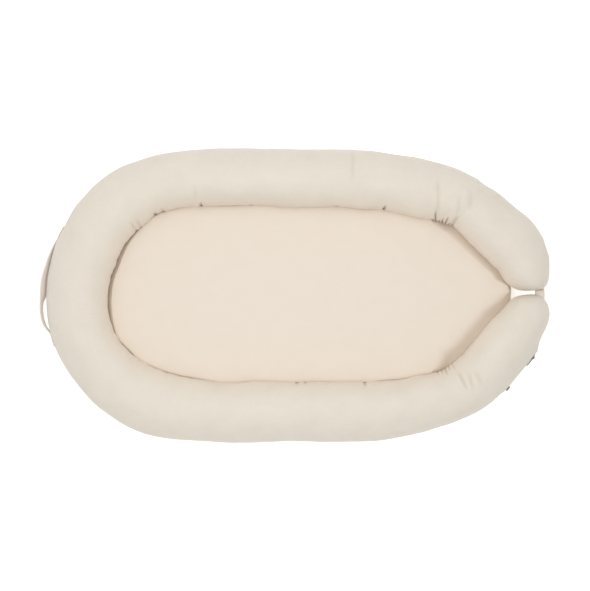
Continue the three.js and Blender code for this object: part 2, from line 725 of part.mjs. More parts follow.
function tongue(tipY, rootY, lowZ, thickness) {
  const toward = Math.sign(tipY - rootY);
  const shoulderY = tipY - toward * STRAP_TIP_CORNER;
  return plate([
    [strapLowX, rootY], [strapLowX, shoulderY], [strapLowX + STRAP_TIP_CORNER, tipY],
    [strapHighX - STRAP_TIP_CORNER, tipY], [strapHighX, shoulderY], [strapHighX, rootY],
  ], thickness).translate(0, 0, lowZ);
}

// Hook and loop patches cover the stretch where the tongue and the tab lie over each other.
function fastenerPatch(lowZ) {
  return block(
    new THREE.Vector3(strapLowX + STRAP_TIP_CORNER, STRAP_TIP_Y + STRAP_EDGE, lowZ),
    new THREE.Vector3(strapHighX - STRAP_TIP_CORNER, LOOP_TAB_TIP_Y - STRAP_EDGE, lowZ + PATCH_THICKNESS),
  );
}

// The wing's outer form, grown by the clearance that a piece sewn to it keeps.
const seatOn = (path) => loft(wingRings(path, -SEAT_GAP));

add('closing_strap', tongue(STRAP_TIP_Y, STRAP_HINGE_Y - SEAT_GAP, strapLowZ, STRAP_THICKNESS), HOOK);
add('hook_patch', fastenerPatch(STRAP_TOP_Z + SEAT_GAP), HOOK);
add('strap_anchor', cut(block(
  new THREE.Vector3(strapLowX, STRAP_HINGE_Y, strapLowZ),
  new THREE.Vector3(strapHighX, STRAP_HINGE_Y + STRAP_ROOT_DEPTH, STRAP_TOP_Z),
), seatOn(left)), LINEN);
add('loop_tab', cut(
  tongue(LOOP_TAB_TIP_Y, LOOP_TAB_TIP_Y - LOOP_TAB_ROOT_DEPTH, tabLowZ, STRAP_THICKNESS),
  seatOn(right),
), LINEN);
add('loop_patch', fastenerPatch(loopLowZ), HOOK);

export default model;
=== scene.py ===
"""Infant lounger: the stuffed bolster, the mattress, the zips, the handle and the closing strap."""

from __future__ import annotations

import json
import logging
import math
from collections.abc import Callable, Sequence
from dataclasses import dataclass, field, replace
from enum import Enum

import bmesh
import bpy
import numpy as np
from mathutils import Matrix, Vector, noise

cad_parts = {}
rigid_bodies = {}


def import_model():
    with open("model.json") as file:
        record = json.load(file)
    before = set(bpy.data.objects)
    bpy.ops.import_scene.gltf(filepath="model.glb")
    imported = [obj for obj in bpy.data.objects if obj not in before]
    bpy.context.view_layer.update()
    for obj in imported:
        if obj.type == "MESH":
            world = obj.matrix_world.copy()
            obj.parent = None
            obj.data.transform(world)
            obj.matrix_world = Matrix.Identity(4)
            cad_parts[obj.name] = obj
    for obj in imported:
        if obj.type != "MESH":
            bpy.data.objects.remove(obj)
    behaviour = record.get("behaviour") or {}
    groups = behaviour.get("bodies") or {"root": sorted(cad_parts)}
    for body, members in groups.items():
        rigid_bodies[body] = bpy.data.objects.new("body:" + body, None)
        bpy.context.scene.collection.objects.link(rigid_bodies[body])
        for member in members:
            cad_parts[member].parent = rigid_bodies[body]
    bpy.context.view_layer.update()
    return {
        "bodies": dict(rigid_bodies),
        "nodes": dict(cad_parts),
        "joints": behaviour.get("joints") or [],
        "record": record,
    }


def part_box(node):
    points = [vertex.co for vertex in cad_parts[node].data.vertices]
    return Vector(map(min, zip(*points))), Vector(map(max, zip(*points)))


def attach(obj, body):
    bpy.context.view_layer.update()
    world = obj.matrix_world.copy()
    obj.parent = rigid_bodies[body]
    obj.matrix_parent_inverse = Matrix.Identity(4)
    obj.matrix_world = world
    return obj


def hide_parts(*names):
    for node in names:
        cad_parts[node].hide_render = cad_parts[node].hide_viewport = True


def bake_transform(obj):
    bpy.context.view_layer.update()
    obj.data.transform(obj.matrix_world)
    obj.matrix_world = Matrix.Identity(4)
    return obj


log = logging.getLogger("lounger")

IMAGE_WIDTH = 590


class Side(Enum):
    """Which side of the lounger a piece belongs to, as the sign of its y."""

    LEFT = 1
    RIGHT = -1


class Coordinates(Enum):
    """What a pattern follows: the cloth's own map, or the place in the object."""

    CLOTH = "UV"
    OBJECT = "Object"


UP = Vector((0, 0, 1))


def smooth_step(value: float, low: float, high: float) -> float:
    """Return 0 below low, 1 above high, and a smooth rise between them."""
    share = min(1.0, max(0.0, (value - low) / (high - low)))
    return share * share * (3 - 2 * share)


def smooth_fall(value: float, low: float, high: float) -> float:
    """Return 1 below low, 0 above high, and a smooth fall between them."""
    return smooth_step(-value, -high, -low)


def mix(first: float, second: float, share: float) -> float:
    """Return the value at that share of the way from first to second."""
    return first + (second - first) * share


# Finishes


class Graph:
    """One material's nodes, laid out by short calls."""

    def __init__(self, name: str) -> None:
        """Start an empty material.

        Args:
            name: the material's name.
        """
        self.material = bpy.data.materials.new(name)
        self.material.use_nodes = True
        self.tree = self.material.node_tree
        self.tree.nodes.clear()
        self.output = self.tree.nodes.new("ShaderNodeOutputMaterial")

    def feed(self, socket: bpy.types.NodeSocket, value: object) -> None:
        """Link an input to another node, or set its value.

        Args:
            socket: the input.
            value: another node's output, or the input's value.
        """
        if isinstance(value, bpy.types.NodeSocket):
            self.tree.links.new(value, socket)
        else:
            socket.default_value = value

    def node(
        self, kind: str, settings: dict[str, object] | None = None, **inputs: object
    ) -> bpy.types.Node:
        """Add a node.

        Args:
            kind: the node's type, without its ShaderNode prefix.
            settings: properties of the node itself.
            **inputs: input sockets by name, or by number after an underscore. A socket is
                linked, and anything else becomes the input's value.

        Returns:
            The new node.
        """
        made = self.tree.nodes.new(f"ShaderNode{kind}")
        for key, value in (settings or {}).items():
            setattr(made, key, value)
        for key, value in inputs.items():
            self.feed(made.inputs[int(key[1:]) if key[0] == "_" else key.replace("_", " ")], value)
        return made

    def math(self, operation: str, first: object, second: object = 0.0) -> bpy.types.NodeSocket:
        """Return the result of a maths node on two values."""
        return self.node("Math", {"operation": operation}, _0=first, _1=second).outputs[0]

    def span(
        self, value: bpy.types.NodeSocket, low: float, high: float
    ) -> bpy.types.NodeSocket:
        """Return value, from 0 to 1, stretched to run from low to high."""
        return self.node("MapRange", None, Value=value, To_Min=low, To_Max=high).outputs["Result"]

    def tint(
        self, share: object, first: object, second: object, blend: str = "MIX"
    ) -> bpy.types.NodeSocket:
        """Blend two colours.

        Args:
            share: how much of the second colour shows, from 0 to 1.
            first: the colour underneath.
            second: the colour laid over it.
            blend: how they are blended.

        Returns:
            The blended colour.
        """
        settings = {"data_type": "RGBA", "blend_type": blend}
        return self.node("Mix", settings, _0=share, _6=first, _7=second).outputs[2]

    def coordinates(
        self, source: Coordinates, scale: tuple[float, float, float]
    ) -> bpy.types.NodeSocket:
        """Return the pattern's coordinates, in metres times the scale."""
        place = self.node("TexCoord").outputs[source.value]
        return self.node("Mapping", None, Vector=place, Scale=scale).outputs[0]

    def grain(
        self, vector: bpy.types.NodeSocket, detail: float = 2.0, rough: float = 0.5
    ) -> bpy.types.NodeSocket:
        """Return fractal noise from 0 to 1 on the given coordinates."""
        inputs = {"Vector": vector, "Scale": 1.0, "Detail": detail, "Roughness": rough}
        return self.node("TexNoise", None, **inputs).outputs[0]

    def bump(
        self, height: bpy.types.NodeSocket, distance: float,
        under: bpy.types.NodeSocket | None = None,
    ) -> bpy.types.NodeSocket:
        """Roughen the surface by a height.

        Args:
            height: the height, from 0 to 1.
            distance: what a height of 1 stands for, in metres.
            under: the surface normal that is roughened further, if there is one.

        Returns:
            The new surface normal.
        """
        inputs: dict[str, object] = {"Height": height, "Distance": distance, "Strength": 1.0}
        if under is not None:
            inputs["Normal"] = under
        return self.node("Bump", None, **inputs).outputs[0]

    def close(self, **inputs: object) -> bpy.types.Material:
        """Add the surface shader.

        Args:
            **inputs: the shader's inputs, as for node.

        Returns:
            The finished material.
        """
        shader = self.node("BsdfPrincipled", None, **inputs)
        self.tree.links.new(shader.outputs[0], self.output.inputs["Surface"])
        return self.material


def rgba(color: Sequence[float]) -> tuple[float, float, float, float]:
    """Return the colour with full opacity."""
    return (color[0], color[1], color[2], 1.0)


@dataclass(frozen=True)
class WovenFinish:
    """Plain-woven cloth of natural yarn, with thick places in its threads and a slight crinkle. Its
    creases get painted shade, and a band of its cloth map can get painted bounce light.
    """

    name: str
    warp: tuple[float, float, float]
    weft: tuple[float, float, float]
    shade: tuple[float, float, float]
    pitch: float = 0.0006
    slub: float = 0.35
    slub_scale: tuple[float, float] = (70, 1400)
    slub_relief: float = 0.00022
    weave_relief: float = 0.00012
    mottle: float = 0.3
    mottle_scale: tuple[float, float, float] = (24, 30, 1)
    polish_scale: tuple[float, float, float] = (90, 90, 1)
    crinkle: float = 0.0005
    crinkle_size: float = 0.007
    roughness: float = 0.92
    sheen: float = 0.18
    sheen_roughness: float = 0.45
    gloss: float = 0.25
    # Painted shade: where the tuck layer marks a crease, the colour is darkened towards this brown.
    crevice_shade: tuple[float, float, float] = (0.42, 0.30, 0.20)
    crevice_shade_share: float = 0.75
    # Painted bounce light: a warmer, brighter tint multiplied over the band of the cloth map that
    # faces the mattress.
    inner_bounce_light: tuple[float, float, float] | None = None
    inner_bounce_span: tuple[float, float] = (0.108, 0.150)
    source: Coordinates = Coordinates.CLOTH

    def build(self) -> bpy.types.Material:
        """Build the cloth's material.

        Returns:
            The material.
        """
        g = Graph(self.name)
        threads = math.pi / self.pitch
        split = g.node("SeparateXYZ", None, Vector=g.coordinates(self.source, (threads,) * 3))
        warp, weft = (g.math("SINE", split.outputs[axis]) for axis in (0, 1))
        weave = g.math("MULTIPLY_ADD", g.math("MULTIPLY", warp, weft), 0.5)
        long, fine = self.slub_scale
        along = g.grain(g.coordinates(self.source, (long, fine, 1)), 2.0, 0.6)
        across = g.grain(g.coordinates(self.source, (fine, long, 1)), 2.0, 0.6)
        slubs = g.math("MAXIMUM", along, across)
        cloud = g.grain(g.coordinates(self.source, self.mottle_scale), 3.0, 0.6)
        polish = g.grain(g.coordinates(self.source, self.polish_scale), 3.0, 0.55)
        tone = g.tint(g.span(across, 0.1, 0.9), rgba(self.warp), rgba(self.weft))
        thick = g.math("MULTIPLY", g.span(slubs, -0.6, 1.0), self.slub)
        tone = g.tint(thick, tone, rgba(self.shade))
        patch = g.math("MULTIPLY", g.span(cloud, -0.5, 1.2), self.mottle)
        tone = g.tint(patch, tone, rgba(self.shade))
        # Painted bounce light: the bolster's inner side, facing the mattress, is made warmer and
        # brighter.
        if self.inner_bounce_light is not None:
            place = g.node("SeparateXYZ", None, Vector=g.coordinates(self.source, (1, 1, 1)))
            inner = g.node(
                "MapRange", {"interpolation_type": "SMOOTHSTEP"}, Value=place.outputs[1],
                From_Min=self.inner_bounce_span[0], From_Max=self.inner_bounce_span[1],
            )
            tone = g.tint(inner.outputs["Result"], tone, rgba(self.inner_bounce_light), "MULTIPLY")
        # Painted shade: darken the colour in creases, by the tuck layer, towards the crevice shade
        # brown.
        tuck = g.node("Attribute", {"attribute_name": "tuck"}).outputs["Fac"]
        tone = g.tint(g.math("MULTIPLY", tuck, self.crevice_shade_share), tone, rgba(self.crevice_shade))
        size = 1 / self.crinkle_size
        creased = g.grain(g.coordinates(self.source, (1.5 * size, 0.8 * size, 1)), 3.0, 0.5)
        normal = g.bump(creased, self.crinkle)
        normal = g.bump(slubs, self.slub_relief, normal)
        normal = g.bump(weave, self.weave_relief, normal)
        rough = g.span(polish, self.roughness - 0.08, min(1.0, self.roughness + 0.06))
        return g.close(
            Base_Color=tone, Roughness=rough, Normal=normal, Sheen_Weight=self.sheen,
            Sheen_Roughness=self.sheen_roughness, Specular_IOR_Level=self.gloss,
        )


@dataclass(frozen=True)
class PileFinish:
    """Hook or loop tape: a short pile of stiff hairs, with shade painted between them."""

    name: str
    color: tuple[float, float, float]
    hair: float = 0.0009
    depth: float = 0.0004
    root_shade: float = 0.62

    def build(self) -> bpy.types.Material:
        """Build the pile's material.

        Returns:
            The material.
        """
        g = Graph(self.name)
        place = g.coordinates(Coordinates.OBJECT, (1 / self.hair,) * 3)
        cells = g.node("TexVoronoi", None, Vector=place, Scale=1.0).outputs["Distance"]
        # Painted shade: darker towards the cell borders, between the hairs.
        dark = tuple(self.root_shade * part for part in self.color)
        tone = g.tint(g.span(cells, 0.0, 1.0), rgba(self.color), rgba(dark))
        return g.close(
            Base_Color=tone, Roughness=g.span(cells, 0.75, 0.98),
            Normal=g.bump(cells, self.depth), Sheen_Weight=0.3,
        )


@dataclass(frozen=True)
class MetalFinish:
    """Dark plated zinc, brushed and worn a little paler in places."""

    name: str
    color: tuple[float, float, float]
    worn: tuple[float, float, float]
    wear_scale: tuple[float, float, float] = (420, 420, 420)
    wear_span: tuple[float, float] = (0.5, 0.72)
    brush_scale: tuple[float, float, float] = (400, 3200, 3200)
    brush_relief: float = 0.00004

    def build(self) -> bpy.types.Material:
        """Build the metal's material.

        Returns:
            The material.
        """
        g = Graph(self.name)
        wear = g.grain(g.coordinates(Coordinates.OBJECT, self.wear_scale), 4.0, 0.7)
        brush = g.grain(g.coordinates(Coordinates.OBJECT, self.brush_scale), 2.0, 0.5)
        low, high = self.wear_span
        share = g.node("MapRange", None, Value=wear, From_Min=low, From_Max=high).outputs[0]
        tone = g.tint(share, rgba(self.color), rgba(self.worn))
        return g.close(
            Base_Color=tone, Metallic=1.0, Roughness=g.span(brush, 0.22, 0.5),
            Normal=g.bump(brush, self.brush_relief),
        )


@dataclass(frozen=True)
class MouldedFinish:
    """Moulded zip teeth, slightly clouded."""

    name: str
    color: tuple[float, float, float]
    cloud_scale: tuple[float, float, float] = (260, 260, 260)
    cloud_tone: float = 0.8
    relief: float = 0.00005

    def build(self) -> bpy.types.Material:
        """Build the teeth's material.

        Returns:
            The material.
        """
        g = Graph(self.name)
        cloud = g.grain(g.coordinates(Coordinates.OBJECT, self.cloud_scale), 3.0, 0.6)
        dark = tuple(self.cloud_tone * part for part in self.color)
        tone = g.tint(g.span(cloud, 0.0, 0.7), rgba(self.color), rgba(dark))
        return g.close(
            Base_Color=tone, Roughness=g.span(cloud, 0.28, 0.5),
            Normal=g.bump(cloud, self.relief), Subsurface_Weight=0.05,
        )


@dataclass(frozen=True)
class FloorFinish:
    """Plain pale studio floor."""

    name: str = "studio_floor"
    color: tuple[float, float, float] = (0.93, 0.93, 0.925)
    glow: float = 0.45
    cloud_scale: tuple[float, float, float] = (3, 3, 3)
    cloud_tone: float = 1.02

    def build(self) -> bpy.types.Material:
        """Build the floor's material.

        Returns:
            The material.
        """
        g = Graph(self.name)
        cloud = g.grain(g.coordinates(Coordinates.OBJECT, self.cloud_scale), 2.0, 0.5)
        pale = tuple(min(1.0, self.cloud_tone * part) for part in self.color)
        return g.close(
            Base_Color=g.tint(cloud, rgba(self.color), rgba(pale)),
            Roughness=g.span(cloud, 0.8, 0.9), Specular_IOR_Level=0.1,
            Emission_Color=rgba(self.color), Emission_Strength=self.glow,
        )


class Finishes:
    """Every finish of the lounger, each built once."""

    def __init__(self) -> None:
        """Build the materials."""
        # The linen gets painted bounce light on the bolster's inner side.
        self.linen = WovenFinish(
            "natural_linen", (0.788, 0.723, 0.626), (0.808, 0.748, 0.66), (0.68, 0.62, 0.523),
            mottle=0.42, inner_bounce_light=(1.09, 1.045, 1.02),
        ).build()
        self.cotton = WovenFinish(
            "cream_cotton", (0.823, 0.736, 0.63), (0.842, 0.76, 0.665), (0.74, 0.648, 0.536),
            pitch=0.0005, slub=0.2, mottle=0.22, crinkle=0.00025, crinkle_size=0.012,
        ).build()
        self.strap = WovenFinish(
            "strap_cotton", (0.80, 0.72, 0.64), (0.82, 0.745, 0.675), (0.69, 0.60, 0.52),
            crinkle=0.0002,
        ).build()
        self.handle = WovenFinish(
            "handle_cotton", (0.90, 0.835, 0.775), (0.915, 0.86, 0.805), (0.82, 0.745, 0.68),
            crinkle=0.0002,
        ).build()
        self.tape = WovenFinish(
            "zip_tape", (0.76, 0.69, 0.58), (0.78, 0.71, 0.61), (0.62, 0.55, 0.45),
            pitch=0.0008, crinkle=0.00008, source=Coordinates.OBJECT,
        ).build()
        self.thread = WovenFinish(
            "sewing_thread", (0.80, 0.74, 0.64), (0.82, 0.77, 0.68), (0.64, 0.57, 0.48),
            pitch=0.0003, crinkle=0.0001, crinkle_size=0.001, source=Coordinates.OBJECT,
        ).build()
        self.hooks = PileFinish("hook_and_loop", (0.60, 0.55, 0.47)).build()
        self.metal = MetalFinish(
            "dark_plated_metal", (0.10, 0.095, 0.085), (0.42, 0.40, 0.36)
        ).build()
        self.teeth = MouldedFinish("zip_teeth", (0.60, 0.54, 0.44)).build()


# Shaping helpers


def piece_from(
    bm: bmesh.types.BMesh, name: str, material: bpy.types.Material, smooth: bool = True
) -> bpy.types.Object:
    """Turn a bmesh into an object at the origin, and free the bmesh.

    Args:
        bm: the shape, in its place.
        name: the object's name.
        material: its finish.
        smooth: whether its faces are shaded smooth.

    Returns:
        The new object.
    """
    mesh = bpy.data.meshes.new(name)
    bm.to_mesh(mesh)
    bm.free()
    mesh.materials.append(material)
    mesh.polygons.foreach_set("use_smooth", [smooth] * len(mesh.polygons))
    made = bpy.data.objects.new(name, mesh)
    bpy.context.scene.collection.objects.link(made)
    return made


def put_in_order(bm: bmesh.types.BMesh) -> None:
    """Give a shape's corners, edges and faces an order that is the same in each run.

    Args:
        bm: the shape. Blender's extrusions and bevels leave this order open.
    """
    corners = sorted(bm.verts, key=lambda vert: tuple(vert.co))
    rank = {vert: place for place, vert in enumerate(corners)}
    bm.verts.sort(key=rank.get)
    for items in (bm.edges, bm.faces):
        ordered = sorted(items, key=lambda item: sorted(rank[vert] for vert in item.verts))
        places = {item: place for place, item in enumerate(ordered)}
        items.sort(key=places.get)


def refinish(node: bpy.types.Object, material: bpy.types.Material) -> None:
    """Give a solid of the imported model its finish.

    Args:
        node: the solid.
        material: its finish.
    """
    node.data.materials.clear()
    node.data.materials.append(material)


def facing(along: Vector, across: Vector, out: Vector, point: Vector) -> Matrix:
    """Return the frame at a point whose x, y and z are the three directions."""
    return Matrix.Translation(point) @ Matrix((along, across, out)).transposed().to_4x4()


def cloth_grid(
    columns: int, rows: int, place: Callable[[int, int], tuple[Vector, tuple[float, float], float]],
    wrap: bool, merge: float = 0.00002,
) -> bmesh.types.BMesh:
    """Lay a grid of cloth over a form.

    Args:
        columns: cells along the cloth.
        rows: cells across it.
        place: gives a corner's point, its place on the cloth in metres, and how dark the shade
            painted there is, from its column and row.
        wrap: whether the last column is sewn to the first.
        merge: how near to each other two corners are joined.

    Returns:
        The shaped grid, with a cloth map at each corner, its painted shade in the tuck layer, and
        its column and row.
    """
    bm = bmesh.new()
    bmesh.ops.create_grid(bm, x_segments=columns, y_segments=rows, size=0.5)
    cloth = bm.loops.layers.uv.new("cloth")
    # The tuck layer holds the painted shade: how far the cloth finish darkens its colour at each
    # corner.
    tuck = bm.verts.layers.float.new("tuck")
    marks = [bm.verts.layers.int.new(name) for name in ("column", "row")]
    where: dict[int, tuple[float, float]] = {}
    for vert in bm.verts:
        column = round((vert.co.x + 0.5) * columns)
        row = round((vert.co.y + 0.5) * rows)
        point, where[vert.index], depth = place(column, row)
        vert.co = point
        vert[tuck] = depth
        vert[marks[0]], vert[marks[1]] = column, row
    for face in bm.faces:
        for loop in face.loops:
            loop[cloth].uv = where[loop.vert.index]
    if wrap:
        bmesh.ops.remove_doubles(bm, verts=bm.verts[:], dist=merge)
        bmesh.ops.dissolve_degenerate(bm, edges=bm.edges[:], dist=merge / 2)
    bmesh.ops.recalc_face_normals(bm, faces=bm.faces[:])
    return bm


def rounded_strip(
    path: Sequence[Matrix], widths: Sequence[float], thickness: float, sides: int = 16
) -> bmesh.types.BMesh:
    """Make a flat strap with rounded edges by extruding its section along a row of frames.

    Args:
        path: frames whose x runs along the strap, y across it and z out of its face.
        widths: the strap's width at each frame.
        thickness: its thickness.
        sides: corners of its section.

    Returns:
        The strap, closed at both ends.
    """
    bm = bmesh.new()
    cloth = bm.loops.layers.uv.new("cloth")
    made = bmesh.ops.create_circle(bm, segments=sides, radius=1.0)
    ring = list(made["verts"])
    turns = [math.atan2(vert.co.y, vert.co.x) for vert in ring]

    def settle(verts: Sequence[bmesh.types.BMVert], index: int) -> None:
        """Move a ring of the strap to its frame.

        Args:
            verts: the ring's corners.
            index: the frame's place in the path.
        """
        for vert, turn in zip(verts, turns):
            bulge = math.copysign(abs(math.cos(turn)) ** 0.35, math.cos(turn))
            edge = math.copysign(abs(math.sin(turn)) ** 0.8, math.sin(turn))
            local = Vector((0, bulge * widths[index] / 2, edge * thickness / 2))
            vert.co = path[index] @ local

    settle(ring, 0)
    edges = list(dict.fromkeys(edge for vert in ring for edge in vert.link_edges))
    reached = 0.0
    marks = {vert: (0.0, slot) for slot, vert in enumerate(ring)}
    for index in range(1, len(path)):
        grown = bmesh.ops.extrude_edge_only(bm, edges=edges)
        fresh = {item for item in grown["geom"] if isinstance(item, bmesh.types.BMVert)}
        edges = [item for item in grown["geom"] if isinstance(item, bmesh.types.BMEdge)]
        ring = [
            next(
                edge.other_vert(vert) for edge in vert.link_edges if edge.other_vert(vert) in fresh
            )
            for vert in ring
        ]
        edges = [edge for edge in edges if all(vert in fresh for vert in edge.verts)]
        settle(ring, index)
        reached += (path[index].translation - path[index - 1].translation).length
        marks.update({vert: (reached, slot) for slot, vert in enumerate(ring)})
    for face in bm.faces:
        for loop in face.loops:
            distance, slot = marks[loop.vert]
            loop[cloth].uv = (distance, turns[slot] * max(widths) / math.pi)
    bmesh.ops.holes_fill(bm, edges=bm.edges[:], sides=sides)
    bmesh.ops.recalc_face_normals(bm, faces=bm.faces[:])
    put_in_order(bm)
    return bm


def stitch_rows(
    rows: Sequence[Sequence[Vector]], normals: Callable[[Vector], Vector], pitch: float = 0.0034,
    length: float = 0.0025, thickness: float = 0.0005,
) -> bmesh.types.BMesh:
    """Sew rows of stitches.

    Args:
        rows: each row as the points of a line on the cloth.
        normals: gives the direction out of the cloth at a point.
        pitch: distance from one stitch to the next.
        length: length of one stitch.
        thickness: the thread's thickness.

    Returns:
        The stitches, each a small rounded bead of thread.
    """
    bm = bmesh.new()
    for row in rows:
        gap = 0.0
        for start, end in zip(row, row[1:]):
            span = end - start
            distance = span.length
            reached = gap
            while reached + length / 2 < distance:
                middle = start + span * (reached / distance)
                out = normals(middle)
                along = span.normalized()
                across = out.cross(along).normalized()
                size = Matrix.Diagonal((length / 2, thickness / 2, thickness / 2, 1))
                bmesh.ops.create_icosphere(
                    bm, subdivisions=1, radius=1.0, matrix=facing(along, across, out, middle) @ size
                )
                reached += pitch
            gap = max(0.0, reached - distance)
    return bm


# The bolster's route, the same as its solid's


@dataclass(frozen=True)
class Wing:
    """One free end of the bolster, beyond the straight toe-in: its bends and its tip's form."""

    side: Side
    bend_radius: float
    bend_turn: float
    tip_radius: float
    tip_turn: float
    tip_length: float
    tip_inset: float
    tip_power: float = 2.0
    tip_extra: float = 0.0
    tip_skew: float = 0.0


@dataclass(frozen=True)
class Leg:
    """One straight or curved leg of a route. A straight leg has no radius."""

    start: float
    end: float
    x: float
    y: float
    heading: float
    radius: float | None

    def at(self, s: float) -> tuple[float, float, float]:
        """Follow the leg.

        Args:
            s: the distance along the route.

        Returns:
            The x, the y and the heading there.
        """
        run = s - self.start
        if self.radius is None:
            x, y = self.x + run * math.cos(self.heading), self.y + run * math.sin(self.heading)
            return x, y, self.heading
        heading = self.heading - run / self.radius
        return (
            self.x + self.radius * (math.sin(self.heading) - math.sin(heading)),
            self.y + self.radius * (math.cos(heading) - math.cos(self.heading)),
            heading,
        )


@dataclass(frozen=True)
class Station:
    """A place on the centreline, with the directions out of the nest and towards the tip."""

    middle: Vector
    outward: Vector
    along: Vector


@dataclass
class Route:
    """Centreline of one side of the bolster, from the middle of the head to the wing tip."""

    wing: Wing
    head_radius: float = 0.205
    head_centre_x: float = -0.174
    side_length: float = 0.288
    toe_in_radius: float = 0.250
    toe_in_turn: float = 11.0
    toe_in_length: float = 0.090
    elbow_length: float = 0.048
    legs: list[Leg] = field(init=False)

    def __post_init__(self) -> None:
        """Lay the legs end to end."""
        wing = self.wing
        toed = math.radians(self.toe_in_turn)
        bent = toed + math.radians(wing.bend_turn)
        turned = bent + math.radians(wing.tip_turn)
        inward = (
            self.toe_in_radius * (1 - math.cos(toed)) + self.toe_in_length * math.sin(toed)
            + wing.bend_radius * (math.cos(toed) - math.cos(bent))
            + wing.tip_radius * (math.cos(bent) - math.cos(turned))
            + wing.tip_length * math.sin(turned)
        )
        run = (self.head_radius - inward - wing.tip_inset) / math.sin(bent)
        plan: list[tuple[float | None, float]] = [
            (self.head_radius, 90.0), (None, self.side_length),
            (self.toe_in_radius, self.toe_in_turn), (None, self.toe_in_length),
            (wing.bend_radius, wing.bend_turn), (None, run),
            (wing.tip_radius, wing.tip_turn), (None, wing.tip_length),
        ]
        x, y, heading, reached = self.head_centre_x - self.head_radius, 0.0, math.radians(90), 0.0
        self.legs = []
        for radius, size in plan:
            length = size if radius is None else radius * math.radians(size)
            leg = Leg(reached, reached + length, x, y, heading, radius)
            x, y, heading = leg.at(leg.end)
            reached = leg.end
            self.legs.append(leg)

    @property
    def head_end(self) -> float:
        """Distance at which the head's arc ends."""
        return self.legs[0].end

    @property
    def elbow_start(self) -> float:
        """Distance at which the bolster leaves the mattress."""
        return self.legs[3].end

    @property
    def elbow_end(self) -> float:
        """Distance at which the elbow's gathers end."""
        return self.elbow_start + self.elbow_length

    @property
    def run_start(self) -> float:
        """Distance at which the wing's straight run starts."""
        return self.legs[4].end

    @property
    def run_end(self) -> float:
        """Distance at which the wing's straight run ends."""
        return self.legs[5].end

    @property
    def run_middle(self) -> float:
        """Distance of the middle of the wing's straight run."""
        return (self.run_start + self.run_end) / 2

    @property
    def length(self) -> float:
        """Length of the route."""
        return self.legs[-1].end

    @property
    def tip(self) -> float:
        """Distance at which the cloth closes over the tip."""
        return self.length + self.wing.tip_extra

    def at(self, s: float) -> Station:
        """Find a station.

        Args:
            s: its distance along the route.

        Returns:
            The station.
        """
        leg = next((item for item in self.legs if s <= item.end), self.legs[-1])
        x, y, heading = leg.at(s)
        side = self.wing.side.value
        return Station(
            Vector((x, side * y, 0)),
            Vector((-math.sin(heading), side * math.cos(heading), 0)),
            Vector((math.cos(heading), side * math.sin(heading), 0)),
        )


LEFT_ROUTE = Route(Wing(
    Side.LEFT, bend_radius=0.124, bend_turn=29.0, tip_radius=0.102, tip_turn=33.0,
    tip_length=0.044, tip_inset=0.0121, tip_power=4.0, tip_extra=0.0046, tip_skew=0.0125,
))
RIGHT_ROUTE = Route(Wing(
    Side.RIGHT, bend_radius=0.144, bend_turn=40.0, tip_radius=0.092, tip_turn=40.0,
    tip_length=0.011, tip_inset=0.0, tip_power=2.2, tip_extra=0.0003, tip_skew=0.0045,
))
SPREAD_STEPS = (-1, -0.75, -0.5, -0.25, 0, 0.25, 0.5, 0.75, 1)
SPREAD_SHARES = (1, 2, 3, 4, 4, 4, 3, 2, 1)


def route_of(place: float) -> Route:
    """Return the route of the side that a signed distance from the middle of the head is on."""
    return LEFT_ROUTE if place >= 0 else RIGHT_ROUTE


def spread(table: Sequence[tuple[float, ...]], place: float, column: int, reach: float) -> float:
    """Read a table between its rows, averaged over a reach to both sides.

    Args:
        table: the rows, in the order of their first column.
        place: where it is read, in the units of its first column.
        column: the column that is read.
        reach: how far to both sides it is averaged.

    Returns:
        The value.
    """
    rows = [row[0] for row in table]
    values = [row[column] for row in table]
    found = np.interp([place + reach * step for step in SPREAD_STEPS], rows, values)
    return float(np.dot(found, SPREAD_SHARES) / sum(SPREAD_SHARES))


